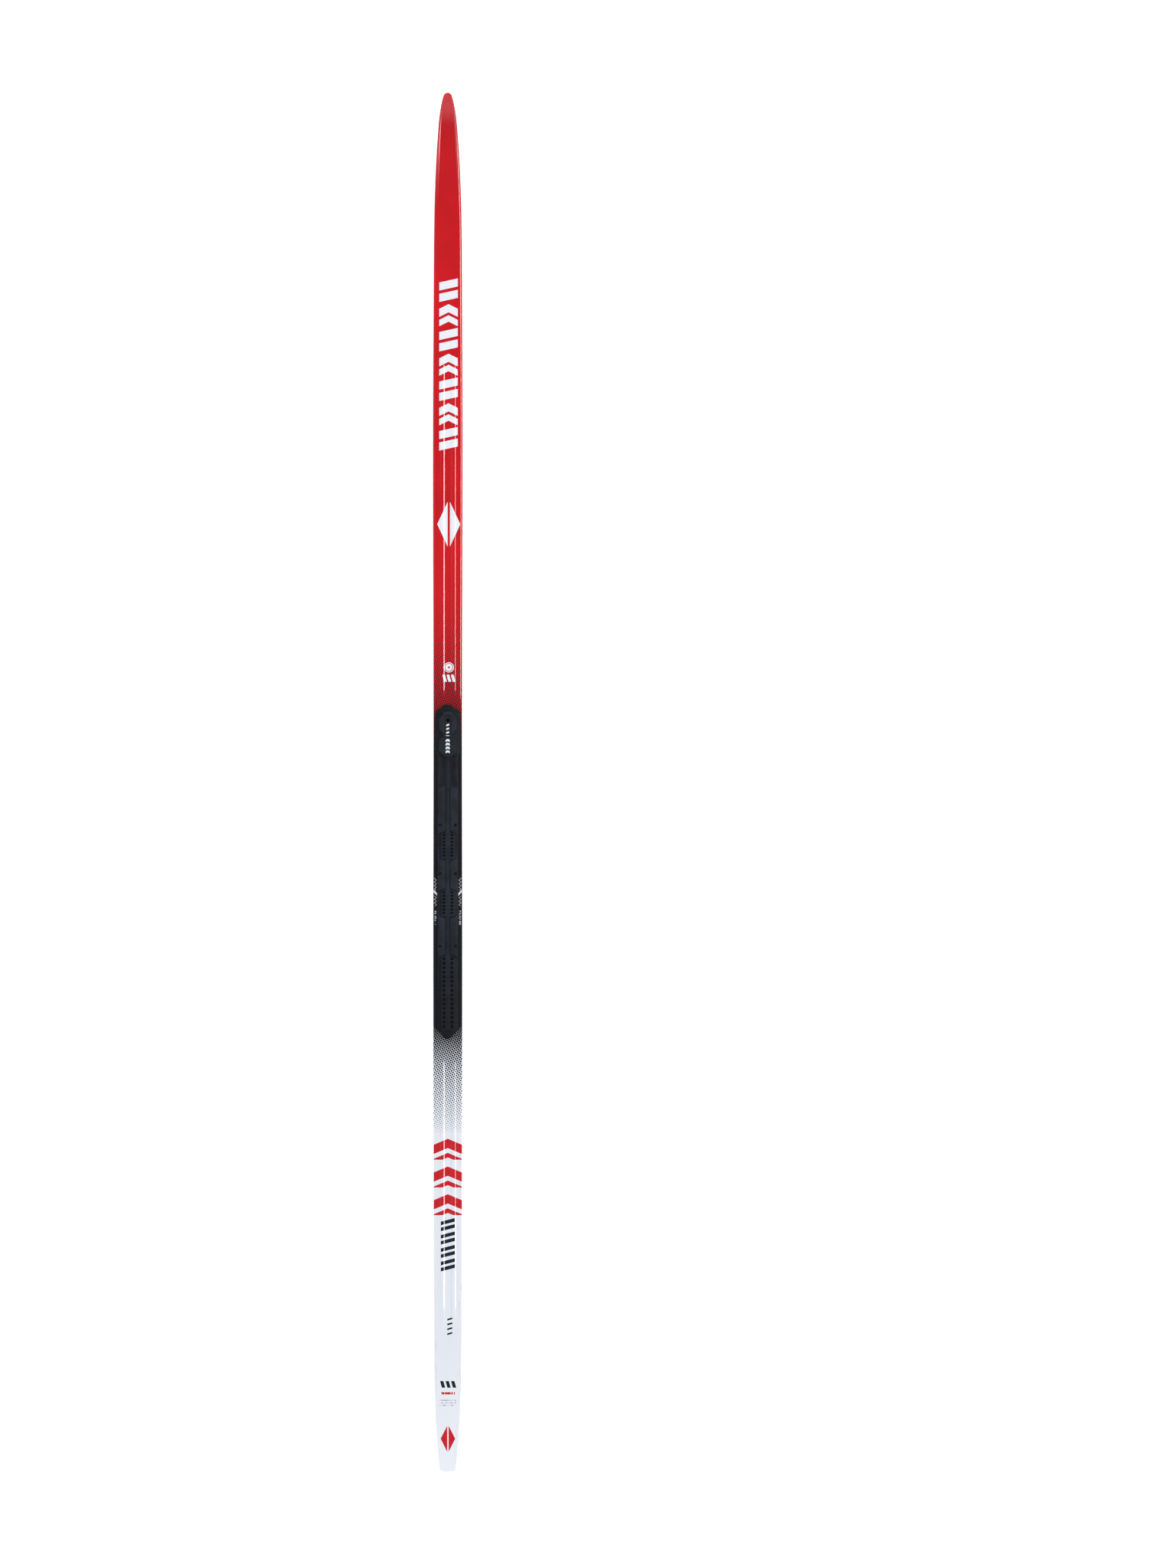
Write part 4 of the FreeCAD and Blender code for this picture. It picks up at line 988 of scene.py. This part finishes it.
def makeStrip():
    # a long narrow light on the right, which the slopes of the top mirror as thin lines
    light = bpy.data.lights.new("rightStrip", "AREA")
    light.shape = "RECTANGLE"
    light.size, light.size_y = studio["stripSize"]
    light.energy = studio["stripPower"]
    lamp = bpy.data.objects.new("rightStrip", light)
    lamp.location = studio["stripPlace"]
    facing = Vector(studio["stripAim"]) - Vector(studio["stripPlace"])
    lamp.rotation_euler = facing.to_track_quat("-Z", "Y").to_euler()
    lamp.visible_camera = False
    bpy.context.scene.collection.objects.link(lamp)


def makeRoom():
    # the room is brightest in a band half way up, and darker beyond the tail, which the tip
    # reflects; the lens sees plain white past the floor's edge
    world = bpy.data.worlds.new("studioWorld")
    bpy.context.scene.world = world
    world.use_nodes = True
    nodes, links = world.node_tree.nodes, world.node_tree.links
    room = nodes["Background"]
    room.inputs["Color"].default_value = studio["roomTone"]
    ways = nodes.new("ShaderNodeSeparateXYZ")
    links.new(nodes.new("ShaderNodeTexCoord").outputs["Generated"], ways.inputs[0])
    bands = nodes.new("ShaderNodeValToRGB")
    for place, share in studio["roomBands"][1:-1]:
        bands.color_ramp.elements.new(place)
    for stop, (place, share) in zip(bands.color_ramp.elements, studio["roomBands"]):
        stop.position, stop.color = place, (share, share, share, 1)
    links.new(ways.outputs["Z"], bands.inputs["Fac"])
    ends = nodes.new("ShaderNodeMapRange")
    ends.inputs["From Min"].default_value, ends.inputs["From Max"].default_value = studio["roomEnds"]
    links.new(ways.outputs["Y"], ends.inputs["Value"])
    ends.inputs["To Min"].default_value = studio["roomEndShare"] * studio["room"]
    ends.inputs["To Max"].default_value = studio["room"]
    strength = nodes.new("ShaderNodeMath")
    strength.operation = "MULTIPLY"
    links.new(bands.outputs["Color"], strength.inputs[0])
    links.new(ends.outputs["Result"], strength.inputs[1])
    links.new(strength.outputs["Value"], room.inputs["Strength"])
    backdrop = nodes.new("ShaderNodeBackground")
    backdrop.inputs["Color"].default_value = (1, 1, 1, 1)
    chooser = nodes.new("ShaderNodeMixShader")
    links.new(nodes.new("ShaderNodeLightPath").outputs["Is Camera Ray"], chooser.inputs[0])
    links.new(room.outputs[0], chooser.inputs[1])
    links.new(backdrop.outputs[0], chooser.inputs[2])
    links.new(chooser.outputs[0], nodes["World Output"].inputs["Surface"])


def makeCamera():
    camera = bpy.data.objects.new("camera", bpy.data.cameras.new("camera"))
    camera.data.lens = studio["lens"]
    camera.data.sensor_width = studio["sensor"]
    camera.data.clip_end = studio["farthest"]
    camera.location = (studio["aside"], studio["ahead"], studio["cameraHeight"])
    bpy.context.scene.collection.objects.link(camera)
    bpy.context.scene.camera = camera


makeFloor()
makeStrip()
makeRoom()
makeCamera()
bpy.context.scene.view_settings.view_transform = "Standard"
print("studio made")
